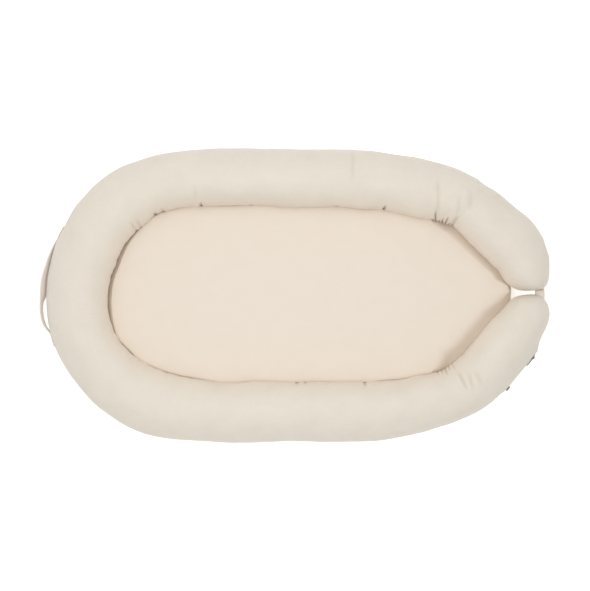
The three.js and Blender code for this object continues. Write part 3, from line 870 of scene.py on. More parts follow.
@dataclass(frozen=True)
class ClothRest:
    """A short cloth simulation that lets a sewn cover settle over its filling.

    It runs on a coarse copy of the cover. Only the wrinkles that it finds are kept, so the
    cover keeps its fullness.
    """

    coarser: int = 2
    frames: int = 16
    quality: int = 5
    share_steps: int = 20
    damping: float = 4.0
    pressure: float = 4.0
    mass: float = 0.25
    stretch: float = 12.0
    bend: float = 0.35
    surplus: float = 0.12
    even_reach: float = 0.030
    limit: float = 0.0032

    def settle(self, piece: bpy.types.Object, hold: np.ndarray, ease: np.ndarray) -> np.ndarray:
        """Let a piece of cloth settle.

        Args:
            piece: the cloth.
            hold: how firmly each of its points is held, from 0 to 1.
            ease: how much spare cloth there is at each point, from 0 to 1.

        Returns:
            How far each point moves, one row each.
        """
        mesh = piece.data
        before = np.empty(len(mesh.vertices) * 3)
        mesh.vertices.foreach_get("co", before)
        for name, shares in (("hold", hold), ("ease", ease)):
            group = piece.vertex_groups.new(name=name)
            steps = np.round(shares * self.share_steps)
            for step in np.unique(steps[steps > 0]):
                found = np.flatnonzero(steps == step).tolist()
                group.add(found, step / self.share_steps, "REPLACE")
        modifier = piece.modifiers.new("cloth", "CLOTH")
        settings = modifier.settings
        settings.quality = self.quality
        settings.mass = self.mass
        settings.tension_stiffness = settings.compression_stiffness = self.stretch
        settings.shear_stiffness = self.stretch / 2
        settings.bending_stiffness = self.bend
        settings.air_damping = self.damping
        settings.use_pressure = True
        settings.uniform_pressure_force = self.pressure
        settings.effector_weights.gravity = 0.0
        settings.vertex_group_mass = "hold"
        settings.vertex_group_shrink = "ease"
        settings.shrink_min = 0.0
        settings.shrink_max = -self.surplus
        modifier.collision_settings.use_collision = False
        modifier.collision_settings.use_self_collision = False
        modifier.point_cache.frame_start = 1
        modifier.point_cache.frame_end = self.frames
        scene = bpy.context.scene
        for frame in range(1, self.frames + 1):
            scene.frame_set(frame)
        after = np.empty_like(before)
        shaped = piece.evaluated_get(bpy.context.evaluated_depsgraph_get())
        shaped.data.vertices.foreach_get("co", after)
        scene.frame_set(1)
        return (after - before).reshape(-1, 3)

    def wrinkles(self, rings: Sequence[float], moved: np.ndarray) -> np.ndarray:
        """Keep the wrinkles of a settled tube, and drop its even swelling.

        Args:
            rings: the places of the tube's rings.
            moved: how far its corners moved, by ring and by row.

        Returns:
            The same, levelled and limited.
        """
        places = np.array(rings)
        near = np.exp(-0.5 * ((places[:, None] - places[None, :]) / self.even_reach) ** 2)
        near /= near.sum(axis=1, keepdims=True)
        level = (near @ moved.reshape(len(places), -1)).reshape(moved.shape)
        kept = moved - level
        far = np.linalg.norm(kept, axis=2, keepdims=True)
        log.info(
            "cloth settled: swelled %.2f mm, wrinkles %.2f mm on average and %.2f mm at most",
            1000 * np.linalg.norm(moved, axis=2).mean(), 1000 * far.mean(), 1000 * far.max(),
        )
        return kept * self.limit * np.tanh(far / self.limit) / np.maximum(far, 1e-9)


@dataclass(frozen=True)
class Fold:
    """A crease or tuck across the bolster.

    Its place is the distance from the middle of the head, negative on the right side, and its
    ends are turns round the bolster: 0 out, 90 up, 180 in.
    """

    place: float
    low: float
    high: float
    depth: float
    spread: float
    slant: float = 0.0


@dataclass
class Bolster:
    """The stuffed bolster round the nest, in one tube of cloth from tip to tip.

    Places are signed distances from the middle of the head, as in Fold. The tables say by how
    many millimetres the cloth stands out of the plain form, at places in millimetres, and the
    domes how the section shrinks towards a tip. Spans are pairs: where a change starts and ends.
    """

    width: float = 0.104
    height: float = 0.099
    wing_width: float = 0.097
    wing_height: float = 0.095
    floor_flat: float = 0.0005
    floor_press: float = 0.003
    tip_taper: float = 0.072
    tip_held: float = 0.010
    around: int = 96
    step: float = 0.0032
    elbow_step: float = 0.0016
    seam_turn: float = 250.0
    elbow_margin: float = 0.008
    gather_length: float = 0.018
    zip_half_height: float = 0.0118
    zip_outer_height: float = 0.019
    zip_reach: float = 0.045
    zip_shift: float = 0.001
    zip_fade: float = 0.009
    fit_reach: float = 16.0
    handle_ends: tuple[float, float] = (0.089, -0.064)
    strap_x: float = 0.431
    strap_y: float = 0.0117
    strap_z: float = 0.0375
    strap_clear: tuple[float, float] = (0.0085, 0.0145)
    seam_held: tuple[float, float, float, float] = (186, 194, 285, 300)
    handle_held: tuple[float, float] = (0.016, 0.020)
    handle_face: tuple[float, float] = (0.85, 0.9)
    zip_held: tuple[float, float] = (0.05, 0.06)
    zip_face: tuple[float, float] = (0.82, 0.9)
    tip_seam: tuple[float, float] = (0.03, 0.012)
    elbow_middle: float = 0.775
    elbow_reach: tuple[float, float] = (0.02, 0.06)
    head_reach: tuple[float, float] = (0.30, 0.36)
    inner_turns: tuple[float, float] = (118, 172)
    cut_slack: float = 0.0002
    map_radius: float = 0.05
    pucker_depth: float = 0.0012
    ripple_depth: float = 0.0016
    # Fold depth whose crease gets the full painted shade.
    full_shade_fold: float = 0.004
    rest: ClothRest = field(default_factory=ClothRest)
    domes: tuple[float, ...] = (
        0.997, 0.985, 0.968, 0.945, 0.915, 0.88, 0.84, 0.79, 0.73, 0.66, 0.58, 0.5, 0.41, 0.32,
        0.22, 0.12, 0.0,
    )
    left_outer: tuple[tuple[float, float], ...] = (
        (0, 4.4), (60, 3.4), (85, 2.2), (105, 2), (125, 4.2), (145, 3.6), (175, 5), (200, 4.2),
        (222, 1.9), (242, -1.8), (270, -2.6), (310, -3.8), (340, -1.5), (380, -0.2), (430, 0.1),
        (500, -1.9), (540, -1.3), (600, -2.9), (650, -4.5), (705, -2.8), (745, -3.8), (768, -6.3),
        (782, -7.2), (800, -5.8), (820, 1.2), (840, 2.3), (870, 1.8), (900, 3.5), (920, 2),
        (940, 2), (958, -3.4), (972, -8), (986, -11), (1000, -12),
    )
    left_inner: tuple[tuple[float, float], ...] = (
        (0, -0.8), (20, 0), (40, 0.5), (60, 3.2), (85, 3.2), (105, 1.6), (125, 0.8), (200, 0.4),
        (213, -1.6), (225, -3.6), (245, -3.2), (262, -1.6), (285, -2.4), (300, -2.6), (320, -1.4),
        (345, -3.2), (440, -4.2), (465, -2.6), (480, -1.2), (540, -1.4), (560, -2.8), (580, -2),
        (600, 1), (622, 2.6), (640, 1), (662, -1.6), (680, -1.6), (700, -0.3), (720, 1.4),
        (738, 0.6), (745, -0.4), (768, -1.2), (782, -2.2), (800, -4), (820, -3), (840, -1.3),
        (870, 1.4), (900, 3.7), (920, 3.2), (940, 1), (958, -3.4), (972, -5.4), (984, -5),
        (1000, -3),
    )
    right_outer: tuple[tuple[float, float], ...] = (
        (0, 4.4), (60, 4.6), (85, 4.4), (120, 2.4), (160, 2.4), (200, 1.9), (260, 1.8), (300, -3),
        (345, -0.3), (385, 2.8), (420, 2), (480, -1.1), (545, 0.1), (580, 0.5), (620, -0.6),
        (640, 0.3), (665, 0.9), (700, 0.9), (720, -0.5), (740, -4), (765, -5.2), (782, -6),
        (800, -5.8), (820, -2.9), (840, -1.4), (860, 3.4), (905, -2.4), (922, -3.4), (943, -8.4),
        (960, -2.6), (980, 4.6), (996, 1.2),
    )
    right_inner: tuple[tuple[float, float], ...] = (
        (0, -0.8), (20, -1.6), (60, -2), (90, -3.2), (105, -3), (120, -0.8), (140, 1.2), (160, 2.4),
        (180, 2.6), (200, 4.4), (220, 7.4), (240, 8.2), (260, 9.2), (300, 9), (320, 6.8),
        (340, 2.4), (360, 0), (380, -1.6), (400, -1.6), (420, 0), (440, 1.6), (460, 1.6),
        (480, 0.2), (500, 0), (520, 1.4), (540, 1.6), (560, 0), (620, 0), (640, -1), (655, -0.5),
        (670, -2.4), (690, -5.6), (700, -6.2), (712, -4.8), (720, -4.1), (740, -5.1), (765, -6),
        (782, -5.6), (800, -2.6), (820, -0.4), (840, -0.4), (860, -1.2), (905, -1.6), (922, -1.8),
        (943, -3.2), (960, -4), (980, -4.7), (996, -4.4),
    )
    folds: tuple[Fold, ...] = (
        Fold(0.3324, 158, 215, 0.0036, 0.0016),
        Fold(0.4201, 176, 215, 0.0016, 0.0026),
        Fold(0.5710, 174, 215, 0.0018, 0.0026),
        Fold(0.6630, 158, 215, 0.0040, 0.0017),
        Fold(0.2279, 164, 215, 0.0024, 0.0024),
        Fold(0.2480, 158, 215, 0.0016, 0.0030),
        Fold(0.1700, 140, 200, 0.0013, 0.0026, 0.004),
        Fold(0.1830, 146, 205, 0.0015, 0.0024, 0.004),
        Fold(0.3240, 112, 140, 0.0007, 0.0022),
        Fold(-0.5008, 164, 215, 0.0020, 0.0020),
        Fold(-0.5149, 166, 215, 0.0018, 0.0018),
        Fold(-0.6219, 158, 215, 0.0022, 0.0024),
        Fold(0.5973, 38, 92, 0.0009, 0.0016),
        Fold(0.7570, 78, 138, 0.0008, 0.0028, -0.013),
        Fold(0.7990, 96, 120, 0.0008, 0.0028, -0.011),
        Fold(0.8120, 74, 97, 0.0008, 0.0030, -0.012),
        Fold(-0.8050, 97, 128, 0.0014, 0.0022, 0.003),
        Fold(-0.8200, 88, 112, 0.0011, 0.0024, 0.009),
        Fold(-0.8320, 84, 104, 0.0010, 0.0026, 0.005),
        Fold(0.7635, 145, 225, 0.0042, 0.0014, -0.010),
        Fold(0.7720, 166, 225, 0.0018, 0.0014),
        Fold(0.7820, 160, 225, 0.0028, 0.0016, -0.003),
        Fold(0.7920, 150, 225, 0.0034, 0.0015, -0.004),
        Fold(0.8010, 165, 225, 0.0024, 0.0013),
        Fold(0.8110, 136, 225, 0.0018, 0.0024, -0.005),
        Fold(-0.7640, 162, 225, 0.0012, 0.0016),
        Fold(-0.7760, 158, 225, 0.0012, 0.0018, 0.003),
        Fold(-0.7850, 150, 225, 0.0017, 0.0017, 0.003),
        Fold(-0.7960, 160, 225, 0.0014, 0.0018, 0.002),
        Fold(-0.8080, 150, 225, 0.0012, 0.0022, 0.004),
    )

    def fit(self, place: float) -> tuple[float, float]:
        """Work out how much fuller than the plain form the bolster is.

        Args:
            place: signed distance from the middle of the head.

        Returns:
            The outer and the inner fullness.
        """
        left = self.left_outer, self.left_inner
        tables = left if place >= 0 else (self.right_outer, self.right_inner)
        outer, inner = (
            spread(table, abs(place) * 1000, 1, self.fit_reach) / 1000 for table in tables
        )
        return outer, inner

    def section(self, route: Route, s: float) -> tuple[float, float, float, float]:
        """Work out the plain form's section at a station.

        Args:
            route: the side's route.
            s: the distance along it.

        Returns:
            The half width, the half height, the middle's height, and the share of its size
            that the section has where the tip closes.
        """
        slimmer = min(1.0, max(0.0, (s - route.elbow_end) / (route.run_start - route.elbow_end)))
        from_tip = min(1.0, max(0.0, (route.tip - s) / self.tip_taper))
        dome = (1 - (1 - from_tip) ** route.wing.tip_power) ** (1 / 3) if from_tip > 0 else 0.0
        width = mix(self.width, self.wing_width, slimmer)
        height = mix(self.height, self.wing_height, slimmer)
        return width / 2, height / 2, height / 2 - self.floor_flat, dome

    def stations(self) -> list[float]:
        """Space out the rings of the cloth.

        Returns:
            Their places from the right tip to the left one.
        """
        places: list[float] = []
        for route in (RIGHT_ROUTE, LEFT_ROUTE):
            marks = [0.0]
            before = route.elbow_start - self.elbow_margin
            after = route.elbow_end + self.gather_length
            for start, end, step in (
                (0.0, before, self.step),
                (before, route.elbow_start, self.elbow_step),
                (route.elbow_start, after, self.elbow_step),
                (after, route.tip - self.tip_taper, self.step),
            ):
                count = max(1, round((end - start) / step))
                marks += [mix(start, end, (i + 1) / count) for i in range(count)]
            marks += [
                route.tip - self.tip_taper * (1 - (1 - dome ** 3) ** (1 / route.wing.tip_power))
                for dome in self.domes
            ]
            side = route.wing.side.value
            places += [side * mark for mark in marks if mark > 0] + ([0.0] if side < 0 else [])
        return sorted(places)

    def hold(self, place: float, turn: float) -> float:
        """Work out how firmly the cloth is held: at the seam, the floor and the fastenings.

        Args:
            place: signed distance from the middle of the head.
            turn: turn round the bolster, in degrees.

        Returns:
            The hold, from 0 to 1.
        """
        rise, held, fall, free = self.seam_held
        firm = smooth_step(turn, rise, held) * smooth_fall(turn, fall, free)
        outside = math.cos(math.radians(turn))
        beside = min(abs(place - end) for end in self.handle_ends)
        near = smooth_fall(beside, *self.handle_held)
        firm = max(firm, near * smooth_step(outside, *self.handle_face))
        if place < 0:
            beside = abs(-place - RIGHT_ROUTE.run_middle)
            near = smooth_fall(beside, *self.zip_held)
            firm = max(firm, near * smooth_step(outside, *self.zip_face))
        free, held = (route_of(place).length - reach for reach in self.tip_seam)
        return max(firm, smooth_step(abs(place), free, held))

    def ease(self, place: float, turn: float) -> float:
        """Work out how much spare cloth there is: most at the elbows, some at the seam.

        Args:
            place: signed distance from the middle of the head.
            turn: turn round the bolster, in degrees.

        Returns:
            The ease, from 0 to 1.
        """
        inner = smooth_step(turn, *self.inner_turns)
        elbow = smooth_fall(abs(abs(place) - self.elbow_middle), *self.elbow_reach)
        round_head = smooth_fall(abs(place), *self.head_reach)
        return min(1.0, inner * (0.35 + 0.25 * round_head + 0.6 * elbow) + 0.12)

    def strap_dent(self, point: Vector) -> float:
        """Work out how far the left tip is drawn in round the root of the closing strap.

        Args:
            point: a point of the cloth.

        Returns:
            How far it moves outwards, along y.
        """
        beside = smooth_fall(abs(point.x - self.strap_x), *self.strap_clear)
        level = smooth_fall(abs(point.z - self.strap_z), *self.strap_clear)
        return beside * level * max(0.0, self.strap_y - point.y)

    def outer_reach(self, place: float) -> float:
        """Work out how far the bolster's outer side lies from its centreline.

        Args:
            place: signed distance from the middle of the head.

        Returns:
            The distance.
        """
        station = route_of(place).at(abs(place))
        reach = self.width / 2 + self.fit(place)[0]
        level = self.height / 2 - self.floor_flat
        point = station.middle + station.outward * reach + Vector((0, 0, level))
        return reach + self.relief(place, 0.0, point)[0]

    def relief(self, place: float, turn: float, point: Vector) -> tuple[float, float]:
        """Work out the cloth's relief at a point.

        Args:
            place: signed distance from the middle of the head.
            turn: turn round the bolster, in degrees.
            point: the point on the plain form.

        Returns:
            How far the cloth stands out of the plain form, and how deep it lies in a tuck, which
            sets how dark the shade painted there is.
        """
        inner = max(0.0, math.cos(math.radians(turn - 186))) ** 3
        upper = max(0.0, math.sin(math.radians(turn)))
        out = 0.0011 * noise.noise(point * 11)
        out += 0.0012 * noise.noise(point * 23 + Vector((7, 3, 1)))
        round_head = 1.0 if abs(place) < LEFT_ROUTE.head_end else 0.55
        pucker = noise.noise(Vector((place * 75, turn / 60, 4.2)))
        out += self.pucker_depth * inner * round_head * pucker
        ripple = noise.noise(Vector((place * 48, turn / 38, 9.1)))
        ripple *= noise.noise(point * 12 + Vector((2, 8, 5)))
        out += self.ripple_depth * (0.35 + 0.65 * upper) * ripple
        out += 0.00035 * noise.noise(point * 47 + Vector((1, 6, 8)))
        depth = 0.0
        for item in self.folds:
            if abs(place - item.place) > 6 * item.spread + abs(item.slant):
                continue
            root = min(item.high, 186.0)
            along = min(1.2, max(0.0, (root - turn) / (root - item.low)))
            centre = item.place + item.slant * along
            reach = smooth_step(turn, item.low - 14, item.low + 10)
            reach *= smooth_fall(turn, item.high - 10, item.high + 14)
            near = (place - centre) / item.spread
            dent = math.exp(-near * near / 2) * reach
            lip = math.exp(-((abs(near) - 2.3) ** 2) / 1.2) * reach
            out += item.depth * (0.28 * lip - dent)
            # Painted shade in the fold's crease, darker for deeper folds.
            depth = max(depth, dent * min(1.0, item.depth / self.full_shade_fold))
        return out, depth

    def skin(
        self, places: Sequence[float], around: int, moves: np.ndarray | None = None
    ) -> bmesh.types.BMesh:
        """Lay the cloth round the bolster.

        Args:
            places: the rings' places.
            around: cells round the bolster.
            moves: how far the settled cloth moves, by ring and by row. Without it the tube is
                left open along its seam.

        Returns:
            The tube of cloth.
        """
        routes = [route_of(place) for place in places]
        stations = [route.at(abs(place)) for route, place in zip(routes, places)]
        sections = [self.section(route, abs(place)) for route, place in zip(routes, places)]
        fits = [self.fit(place) for place in places]

        def place_corner(column: int, row: int) -> tuple[Vector, tuple[float, float], float]:
            """Place a corner of the cloth.

            Args:
                column: its ring.
                row: its place round the ring.

            Returns:
                The point, its place on the cloth, and how deep it lies in a tuck, which sets the
                shade painted there.
            """
            place, station, route = places[column], stations[column], routes[column]
            half_width, half_height, middle_z, dome = sections[column]
            turn = self.seam_turn - 360 * row / around
            angle = math.radians(turn)
            shown = turn % 360
            lower = middle_z + self.floor_press if math.sin(angle) < 0 else half_height
            reach = half_width * dome * math.cos(angle)
            rise = lower * dome * math.sin(angle)
            fuller = fits[column][0 if reach > 0 else 1] * abs(math.cos(angle)) ** 1.5 * dome
            reach += fuller if reach > 0 else -fuller
            skew = route.wing.tip_skew * reach / half_width * smooth_step(
                abs(place), route.tip - self.tip_taper, route.tip - 0.01
            )
            point = station.middle + station.outward * reach + Vector((0, 0, middle_z + rise))
            point += station.along * skew
            steep = Vector((0, 0, math.sin(angle) / lower))
            normal = (station.outward * (math.cos(angle) / half_width) + steep).normalized()
            out, depth = self.relief(place, shown, point)
            calm = smooth_step(dome, 0.15, 0.8)
            flat = 0.0
            if place < 0 and math.cos(angle) > 0:
                beside = abs(-place - RIGHT_ROUTE.run_middle - self.zip_shift)
                flat = smooth_fall(abs(rise), self.zip_half_height, self.zip_outer_height)
                flat *= smooth_fall(beside, self.zip_reach, self.zip_reach + self.zip_fade)
            point += normal * out * calm * (1 - flat)
            if flat > 0:
                point += station.outward * flat * (half_width * dome - reach)
            if moves is not None:
                point += Vector(moves[column, row]) * calm
            if place > 0:
                point.y += self.strap_dent(point)
            low, press = point.z, self.floor_press
            if low < press:
                point.z = 0.0 if low <= -press else (low + press) ** 2 / (4 * press)
            return point, (place, angle * self.map_radius), depth * calm

        return cloth_grid(len(places) - 1, around, place_corner, wrap=moves is not None)

    def moves(self, places: Sequence[float], finishes: Finishes) -> np.ndarray:
        """Let a coarse tube of the same cloth settle, and read its wrinkles on the fine tube.

        Args:
            places: the fine tube's rings.
            finishes: the lounger's finishes.

        Returns:
            How far each corner of the fine tube moves, by ring and by row.
        """
        found = np.zeros((len(places), self.around + 1, 3))
        coarser = self.rest.coarser
        around = self.around // coarser
        rings = [
            place for place in places[::coarser]
            if abs(place) < route_of(place).length - self.tip_held
        ]
        rough = piece_from(self.skin(rings, around), "bolster_rough", finishes.linen)
        count = len(rough.data.vertices)
        column, row = np.empty(count, dtype=np.int32), np.empty(count, dtype=np.int32)
        rough.data.attributes["column"].data.foreach_get("value", column)
        rough.data.attributes["row"].data.foreach_get("value", row)
        turns = (self.seam_turn - 360 * row / around) % 360
        hold = np.array([self.hold(rings[c], turn) for c, turn in zip(column, turns)])
        ease = np.array([self.ease(rings[c], turn) for c, turn in zip(column, turns)])
        table = np.zeros((len(rings), around + 1, 3))
        table[column, row] = self.rest.settle(rough, hold, ease)
        bpy.data.objects.remove(rough)
        table = self.rest.wrinkles(rings, table)
        rows = np.arange(self.around + 1) / coarser
        along = np.stack([
            [np.interp(places, rings, table[:, r, k]) for r in range(around + 1)] for k in range(3)
        ])
        for k in range(3):
            fine = np.array([
                np.interp(rows, np.arange(around + 1), along[k, :, i]) for i in range(len(places))
            ])
            fine[1:-1] = (fine[:-2] + 2 * fine[1:-1] + fine[2:]) / 4
            fine[:, 1:-1] = (fine[:, :-2] + 2 * fine[:, 1:-1] + fine[:, 2:]) / 4
            found[:, :, k] = fine
        return found

    def split(
        self, whole: bpy.types.Object, name: str, low: float, high: float
    ) -> bpy.types.Object:
        """Cut one piece out of the whole tube, with the whole's shading at its ends.

        Args:
            whole: the tube of cloth.
            name: the piece's name.
            low: where the piece starts, as a signed distance from the middle of the head.
            high: where it ends.

        Returns:
            The piece, closed at both ends.
        """
        bm = bmesh.new()
        bm.from_mesh(whole.data)
        cloth = bm.loops.layers.uv["cloth"]
        gone = []
        for face in bm.faces:
            middle = sum(loop[cloth].uv.x for loop in face.loops) / len(face.loops)
            if not low - self.cut_slack <= middle <= high + self.cut_slack:
                gone.append(face)
        shading = bm.verts.layers.float_vector.new("shading")
        for vert in bm.verts:
            vert[shading] = vert.normal
        bmesh.ops.delete(bm, geom=gone, context="FACES")
        bmesh.ops.holes_fill(bm, edges=bm.edges[:], sides=self.around + 4)
        bmesh.ops.recalc_face_normals(bm, faces=bm.faces[:])
        normals = [
            tuple(face.normal if len(face.verts) > 4 else loop.vert[shading])
            for face in bm.faces for loop in face.loops
        ]
        made = piece_from(bm, name, whole.data.materials[0])
        made.data.normals_split_custom_set(normals)
        return made

    def build(self, finishes: Finishes) -> list[bpy.types.Object]:
        """Make the bolster's three pieces, and seat the sewn one on the nest.

        Args:
            finishes: the lounger's finishes.

        Returns:
            The sewn bolster, the left wing and the right wing.
        """
        places = self.stations()
        cloth = self.skin(places, self.around, self.moves(places, finishes))
        whole = piece_from(cloth, "bolster_whole", finishes.linen)
        start = LEFT_ROUTE.elbow_start
        sewn = self.split(whole, "bolster", -start, start)
        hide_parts("bolster_cover", "bolster_filling")
        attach(sewn, "nest")
        pieces = [sewn]
        for name, route, low, high in (
            ("left_wing", LEFT_ROUTE, start, LEFT_ROUTE.tip),
            ("right_wing", RIGHT_ROUTE, -RIGHT_ROUTE.tip, -start),
        ):
            wing = self.split(whole, name + "_bolster", low, high)
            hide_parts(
                name.replace("wing", "elbow_cover"), name.replace("wing", "elbow_filling"),
                name + "_cover", name + "_filling",
            )
            station = route.at(start)
            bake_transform(wing)
            pieces.append(wing)
        bpy.data.objects.remove(whole)
        return pieces


@dataclass(frozen=True)
class Edge:
    """A point of the mattress outline, and the form of the cover there.

    The shoulder is the width of the rounded rim, the spine the place on the middle line that
    the cover runs to, the spill how far the seam stands out, and the slope and the power say
    how far and how steeply the rim slants instead of rounding.
    """

    point: Vector
    inward: Vector
    shoulder: float
    spine: float
    seam_z: float
    spill: float
    slope: float
    # How dark the shade painted along the rim is here.
    tone: float
    power: float


@dataclass
class Mattress:
    """The thin foam mattress in its cotton cover, closed all round by a seam.

    The foot's shoulders are its rim's widths: at the elbow, at the toe's corner and past it.
    Painted shades say how dark the rim's crease and slanted foot are painted, and powers how the
    slanted rim falls.
    """

    gap: float = 0.0003
    crown_z: float = 0.040
    edge_z: float = 0.037
    seam_z: float = 0.022
    base_z: float = 0.008
    base_tuck: float = 0.007
    side_shoulder: float = 0.002
    head_shoulder: float = 0.006
    head_painted_shade_reach: tuple[float, float] = (0.09, 0.24)
    head_reaches: dict[Side, tuple[float, float]] = field(
        default_factory=lambda: {Side.LEFT: (0.08, 0.22), Side.RIGHT: (0.01, 0.11)}
    )
    side_lap: float = 0.0012
    side_spill: float = 0.0055
    foot_spill: float = 0.003
    foot_shoulders: dict[Side, tuple[float, float, float]] = field(
        default_factory=lambda: {
            Side.LEFT: (0.020, 0.014, 0.006), Side.RIGHT: (0.031, 0.027, 0.024)
        }
    )
    foot_powers: dict[Side, float] = field(
        default_factory=lambda: {Side.LEFT: 1.0, Side.RIGHT: 1.25}
    )
    # Painted shade down each slanted foot rim.
    foot_painted_shades: dict[Side, float] = field(
        default_factory=lambda: {Side.LEFT: 0.36, Side.RIGHT: 0.46}
    )
    corner_share: float = 0.26
    foot_seam_z: float = 0.026
    toe_shoulder: float = 0.003
    toe_x: float = 0.381
    toe_middle: float = 0.006
    toe_bulge: float = 0.0005
    toe_corners: dict[Side, float] = field(
        default_factory=lambda: {Side.LEFT: 0.0175, Side.RIGHT: 0.0085}
    )
    foot_underlap: float = 0.004
    slant_end: float = 0.032
    spine_start: float = -0.19
    spine_end: float = 0.30
    sewn_columns: int = 96
    slant_columns: int = 34
    toe_columns: int = 6
    crown_rows: int = 34
    shoulder_rows: int = 9
    tuck_rows: int = 6
    base_rows: int = 14
    welt_radius: float = 0.0012
    welt_seat: float = 0.6
    crown_power: float = 1.6
    crown_fall: float = 0.013
    calm_reach: float = 0.03
    pucker: float = 0.0005
    pucker_reach: float = 0.02
    spill_power: float = 1.4
    wave_scale: float = 60
    # The painted shade's spread over the rim: along the seam's crease, or down the slanted foot.
    crease_shade_fall: float = 0.45
    slant_shade_span: tuple[float, float] = (0.52, 1.02)
    slant_shade_rise: tuple[float, float] = (0.005, 0.016)
    slant_shade_shoulder: tuple[float, float] = (0.009, 0.013)
    base_map_shift: float = 2.0
    # How dark the shade painted along the rim is at the head and on the sides.
    edge_painted_shade: float = 0.55
    side_painted_shade: float = 0.06
    apex_power: float = 1.25

    def side_edges(self, bolster: Bolster, route: Route) -> list[Edge]:
        """Lay out one side of the outline.

        Args:
            bolster: the bolster that the mattress lies in.
            route: the side's route.

        Returns:
            The outline from the middle of the head to the middle of the toe.
        """
        side = route.wing.side.value
        power, foot_painted_shade = self.foot_powers[route.wing.side], self.foot_painted_shades[route.wing.side]
        head_reach = self.head_reaches[route.wing.side]
        edges: list[Edge] = []

        def add(
            point: Vector, inward: Vector, shoulder: float, seam_z: float, spill: float,
            slope: float, away: float, head: float = 0.0,
        ) -> None:
            """Add one point of the outline.

            Args:
                point: the point.
                inward: the direction into the mattress.
                shoulder: the width of the rim.
                seam_z: the seam's height.
                spill: how far the seam stands out.
                slope: how far the rim slants, from 0 to 1.
                away: how far the painted shade is the foot's, from 0 to 1.
                head: how far it is the head's.
            """
            # Painted shade along the rim: faint on the sides, darker at the head and down the
            # slanted foot.
            tone = mix(mix(self.side_painted_shade, self.edge_painted_shade, head), foot_painted_shade, away)
            edges.append(Edge(point, inward, shoulder, 0.0, seam_z, spill, slope, tone, power))

        for i in range(1, self.sewn_columns + 1):
            s = route.elbow_start * i / self.sewn_columns
            station = route.at(s)
            head = smooth_fall(s, *self.head_painted_shade_reach)
            wide_head = smooth_fall(s, *head_reach)
            open_seam = 0.6 + 1.6 * max(-0.3, noise.noise(Vector((s * 21, side * 3.0, 0.5))))
            reach = bolster.width / 2 + mix(-self.side_lap, self.gap, wide_head)
            reach += bolster.fit(side * s)[1]
            add(
                station.middle - station.outward * reach, -station.outward,
                mix(self.side_shoulder * open_seam, self.head_shoulder, wide_head), self.seam_z,
                self.side_spill, wide_head, 0.0, head,
            )
        wide, narrow, last_shoulder = self.foot_shoulders[route.wing.side]
        for i in range(1, self.slant_columns + 1):
            share = i / (self.slant_columns + 1)
            s = mix(route.elbow_start, route.length - self.slant_end, i / self.slant_columns)
            station = route.at(s)
            half_width, _, _, dome = bolster.section(route, s)
            reach = half_width * dome + bolster.fit(side * s)[1] + self.gap
            away = min(1.0, share / self.corner_share)
            reach -= self.foot_underlap * away
            shoulder = mix(self.side_shoulder, mix(wide, narrow, share), away)
            add(
                station.middle - station.outward * reach, -station.outward, shoulder,
                mix(self.seam_z, self.foot_seam_z, away),
                mix(self.side_spill, self.foot_spill, away), away, away,
            )
        last = edges[-1]
        corner = Vector((self.toe_x, side * self.toe_corners[route.wing.side], 0))
        middle = Vector((self.toe_x + self.toe_bulge, self.toe_middle, 0))
        for i in range(1, self.toe_columns + 1):
            share = i / self.toe_columns
            to_corner, to_middle = min(1.0, 2 * share), max(0.0, 2 * share - 1)
            before = last.point.lerp(corner, to_corner)
            point = before if share < 0.5 else corner.lerp(middle, to_middle)
            shoulder = mix(last.shoulder, last_shoulder, to_corner)
            add(
                point, last.inward.lerp(Vector((-1, 0, 0)), share).normalized(),
                mix(shoulder, self.toe_shoulder, to_middle),
                self.foot_seam_z, self.foot_spill * (1 - share), 1 - share, 1.0,
            )
        count = len(edges)
        return [
            replace(item, spine=mix(
                self.spine_start, self.spine_end, smooth_step((i + 1) / count, -0.05, 1.0)
            ))
            for i, item in enumerate(edges)
        ]

    def outline(self, bolster: Bolster) -> list[Edge]:
        """Lay out the whole outline.

        Args:
            bolster: the bolster that the mattress lies in.

        Returns:
            The outline from the middle of the head round by the left side.
        """
        station = LEFT_ROUTE.at(0)
        apex = Edge(
            station.middle - station.outward * (bolster.width / 2 + self.gap), -station.outward,
            self.head_shoulder, self.spine_start, self.seam_z, self.side_spill, 1.0,
            self.edge_painted_shade, self.apex_power,
        )
        left = self.side_edges(bolster, LEFT_ROUTE)
        right = self.side_edges(bolster, RIGHT_ROUTE)
        return [apex, *left, *reversed(right[:-1])]

